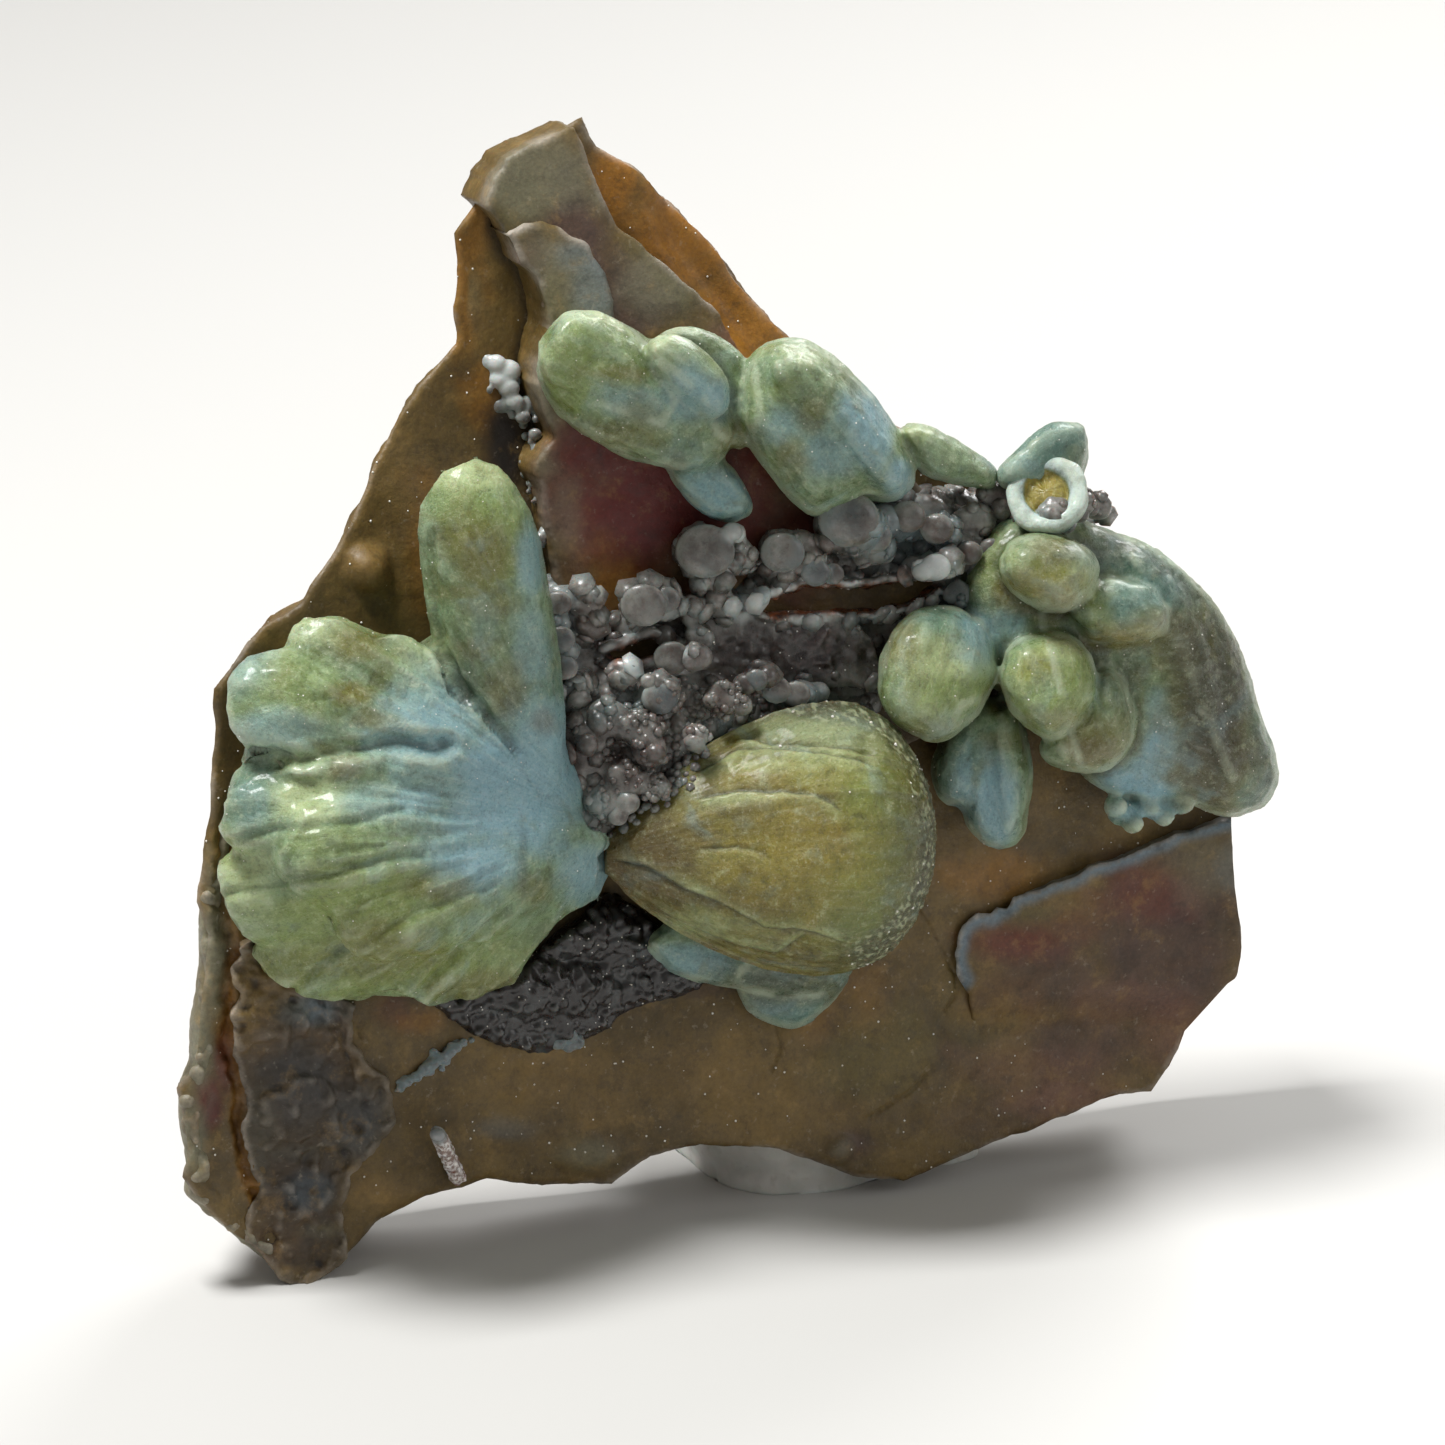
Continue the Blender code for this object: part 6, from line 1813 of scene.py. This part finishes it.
def ring_piece(finish):
    """A crystal broken across: a pale ring round a golden core."""
    foot, axis, length, side, rise = barrel_axes(RIGHT_CLUSTER[9])
    centre = foot + axis * (length - 0.1)
    sides = 64
    turn = np.linspace(0, 2 * math.pi, sides, endpoint=False)
    points = [centre + axis * RING_ROWS[0][1]]
    for radius, height in RING_ROWS[1:-1]:
        around = np.column_stack((np.cos(turn), np.sin(turn), np.full(sides, radius)))
        wobble = 1 + 0.1 * wave(around * (2, 2, 1), 1.0, 131, 3)
        level = height + 0.08 * wave(around * (3, 3, 1), 1.0, 133, 3)
        spoke = np.cos(turn)[:, None] * side + np.sin(turn)[:, None] * rise
        if radius > 0.7 and height > -1:
            level = level + 0.3 * (spoke @ (UPWARD - 0.4 * ACROSS)) - 0.1
        points.extend(centre + axis * level[:, None] + (radius * wobble)[:, None] * spoke)
    points.append(centre + axis * RING_ROWS[-1][1])
    points = np.array(points)
    ring = np.arange(sides)
    following = (ring + 1) % sides
    quads = np.concatenate([
        np.column_stack((ring, following, sides + following, sides + ring)) + 1 + n * sides
        for n in range(len(RING_ROWS) - 3)
    ])
    last = 1 + (len(RING_ROWS) - 3) * sides
    caps = np.concatenate((
        np.column_stack((1 + following, 1 + ring, np.zeros(sides, int))),
        np.column_stack((last + ring, last + following, np.full(sides, len(points) - 1))),
    ))
    obj = new_object("broken_ring", new_mesh("broken_ring", points, quads, caps))
    subdivide = obj.modifiers.new("finer", "SUBSURF")
    subdivide.levels = subdivide.render_levels = 1
    applied(obj)
    points = points_of(obj.data)
    radius = np.linalg.norm(np.cross(points - centre, axis), axis=1)
    top = smooth(-0.7, -0.1, (points - centre) @ axis)
    set_attribute(obj, "grain", points)
    set_attribute(obj, "rim", 0.4 * smooth(1.0, 1.15, radius))
    values = {
        "golden": smooth(0.92, 0.84, radius),
        "white": 0.7 * top * smooth(0.88, 1.0, radius),
        "blue": 0.4 * smooth(0.88, 1.0, radius),
        "teal": 0.6 * (1 - top),
        "olive": 0.5 * smooth(0.5, 0.8, radius) * (radius < 0.9),
    }
    for name in WAX_NAMES:
        set_attribute(obj, name, values.get(name, np.zeros(len(points))))
    return settle(obj, finish, "blue_green_crystal")


def specks(name, source, amount, sizes, seed, material, slot, mask=None):
    """Small bright grains over a finished piece, as one mesh."""
    base = source.data.copy()
    points = points_of(base) / MM
    base.vertices.foreach_set("co", points.astype(np.float32).ravel())
    obj = grown_grains(name, base, sizes, 0.8, amount, seed, material, mask)
    return settle(obj, material, slot)


FLOOR_REACH = 3
SKY_COLOUR, SKY_STRENGTH = (1.0, 0.98, 0.94, 1), 0.25
VIEW_MIDDLE = (-0.7, 22.58, 2)
CAMERA_LENS, CAMERA_SENSOR = 250, 36
# Each lamp's place from the middle in metres (across, up and towards the viewer), its size and its power.
LAMPS = (
    ("key", -0.1, 0.25, 0.12, 0.09, 1.3),
    ("fill", 0.26, 0.08, 0.16, 0.2, 0.2),
    ("rim", 0.1, 0.22, -0.16, 0.12, 0.5),
)


def aimed(name, data, spot, middle):
    """A lamp or a camera at a spot, turned to the middle."""
    obj = new_object(name, data)
    obj.location = spot
    obj.rotation_euler = Vector(middle - spot).to_track_quat("-Z", "Y").to_euler()
    return obj


def stage_and_lights():
    corners = np.array([(-1, -1, 0), (1, -1, 0), (1, 1, 0), (-1, 1, 0)], float) * FLOOR_REACH
    floor = new_object("floor", new_mesh("floor", corners, [(0, 1, 2, 3)]))
    made = bpy.data.materials.new("pale floor")
    made.use_nodes = True
    shader = made.node_tree.nodes["Principled BSDF"]
    shader.inputs["Base Color"].default_value = colour("c9c8c5")
    shader.inputs["Roughness"].default_value = 0.6
    floor.data.materials.append(made)
    world = bpy.data.worlds.new("studio")
    world.use_nodes = True
    sky = world.node_tree.nodes["Background"]
    sky.inputs["Color"].default_value = SKY_COLOUR
    sky.inputs["Strength"].default_value = SKY_STRENGTH
    bpy.context.scene.world = world
    middle = place(*VIEW_MIDDLE) * MM
    for name, across, up, towards, size, power in LAMPS:
        lamp = bpy.data.lights.new(name, "AREA")
        lamp.size = size
        lamp.energy = power
        aimed(name, lamp, middle + ACROSS * across + UPWARD * up + TOWARDS * towards, middle)
    camera = bpy.data.cameras.new("camera")
    camera.lens = CAMERA_LENS
    camera.sensor_width = CAMERA_SENSOR
    camera.clip_start = 0.01
    distance = FRAME_SIZE * FRAME_STEP * MM * camera.lens / camera.sensor_width
    bpy.context.scene.camera = aimed("camera", camera, middle + TOWARDS * distance, middle)
    bpy.context.scene.view_settings.view_transform = "Standard"


def build():
    stage_and_lights()
    stone = stone_finish()
    plate = plate_piece(stone)
    layer_piece("upper_layer", UPPER_LAYER, upper_height, 0.16, stone, UPPER_STAINS, 200, depth=1.2)
    layer_piece(
        "grey_tongue", TONGUE, lambda a, u: upper_height(a, u) + 0.2, 0.14, stone,
        TONGUE_STAINS,
        210, rim=0.7, depth=0.4, lip=0.1,
    )

    def shelf_level(across, up):
        """The shelf's step is sharp above and at its left, and it runs out into the plate below."""
        step = (0.34 + 0.45 * smooth(9, 14, across)) * smooth(9.5, 12.0, up)
        return base_height(across, up) + step - 0.05 - 0.2 * smooth(9.0, 7.0, up)

    shelf = layer_piece("red_shelf", RED_SHELF, shelf_level, 0.16, stone, PLATE_STAINS, 220, rim=0.15, run=EDGE,
        lip=0.05, ragged=0.16, depth=0.3)
    spots = looked_at(points_of(shelf.data) / MM)[:, :2]
    glow = line_gap(spots, RED_SHELF[1:18]) + 0.12 * wave(spots, 0.8, 221, 3)
    raised(shelf, "blue", 0.9 * smooth(0.75, 0.2, glow))
    change(shelf, "crumbs", 0.7 * smooth(0.22, 0.05, glow))

    def terraces(across, up):
        level = wave(np.column_stack((across, up)), 3.6, 233, 4)
        steps = sum(smooth(edge - 0.03, edge + 0.03, level) for edge in (-0.3, 0.0, 0.3))
        return base_height(across, up) + 0.22 + 0.2 * steps

    skin = layer_piece("dark_skin", DARK_SKIN, terraces, 0.12, stone, SKIN_STAINS, 230, rim=0.45, ragged=0.25,
        rough=6.0, run=EDGE)
    sharp = sharpness(skin.data, 2) / MM
    # Paler on its sharp edges, and painted shade in its hollows.
    raised(skin, "crumbs", np.clip((sharp - 0.008) * 9, 0, 0.25))
    raised(skin, "dark", np.clip((-sharp - 0.004) * 40, 0, 0.95))
    rind_piece(stone)

    wax = wax_finish("waxy blue-green crystal", "566b3b", "829b72")
    fan = fan_piece(wax)
    upper_crystals = cluster_piece("upper_crystals", UPPER_BARRELS, UPPER_BODIES, 0.12, 300, wax, UPPER_TINTS,
        "upper_cluster", web=3, plain=(5, 7))
    beads = [ball(seen_place(x, y, out), radius, (1, 1, 0.9)) for x, y, out, radius in RIGHT_BEADS]
    right_edge = seen(*RIGHT_BODIES[0][0][1:12])
    right = cluster_piece("right_crystals", RIGHT_CLUSTER, RIGHT_BODIES, 0.13, 320, wax, RIGHT_TINTS, "right_cluster",
        extra=beads, web=2, plain=(1, 8, 10))
    spots = looked_at(points_of(right.data) / MM)[:, :2]
    # A painted pale highlight along the right crystal's outer edge, and painted shade in a band beside it.
    edge = line_distance(spots, right_edge) + 0.12 * wave(spots, 0.5, 351, 3)
    raised(right, "rim", 0.5 * smooth(0.4, 0.1, edge) * smooth(-0.2, 0.4, wave(spots, 0.4, 353, 3)))
    raised(right, "shade", 0.5 * smooth(1.6, 0.5, edge) * smooth(0.1, 0.5, edge))
    cluster_piece("lens_crystals", LENS, LENS_BODIES, 0.085, 340, wax, LENS_TINTS, "lens_crystal", web=2, rim=14.0)
    gold = wax_finish("waxy golden crystal", "5c541f", "7e762c", rim="b9c09a", streak=0.35, coat=0.1)
    golden = golden_piece(gold)
    ring_piece(wax)
    grey = crust_finish()
    crust = crust_piece(grey)
    grape_pieces(crust, golden, grey)
    druse = druse_piece(grey)
    needle_piece()
    putty_piece()

    made = Finish("bright dust and glints")
    glint = made.finish(made.mix(made.span(made.noise(0.5, 2), 0.4, 0.6), "d8d2c4", "f2f0ea"), 0.35,
        made.bump(made.noise(0.1, 2), 0.2, 0.02), Coat_Weight=0.3)
    # Pale grains: dust on the matrix; on the crust, druse and crystals they are painted glints.
    specks("matrix_dust", plate, 0.5, (0.02, 0.055), 41, glint, "matrix")
    specks("crust_glints", crust, 0.6, (0.025, 0.05), 43, glint, "crust")
    specks("druse_glints", druse, 1.2, (0.02, 0.045), 44, glint, "crust")
    specks("fan_glints", fan, 0.35, (0.02, 0.04), 45, glint, "blue_green_crystal")
    specks("right_glints", right, 0.5, (0.02, 0.045), 47, glint, "blue_green_crystal")
    specks("upper_glints", upper_crystals, 0.5, (0.02, 0.04), 49, glint, "blue_green_crystal")
    specks("golden_glints", golden, 8.0, (0.03, 0.08), 51, glint, "golden_crystal", mask="rim")


build()
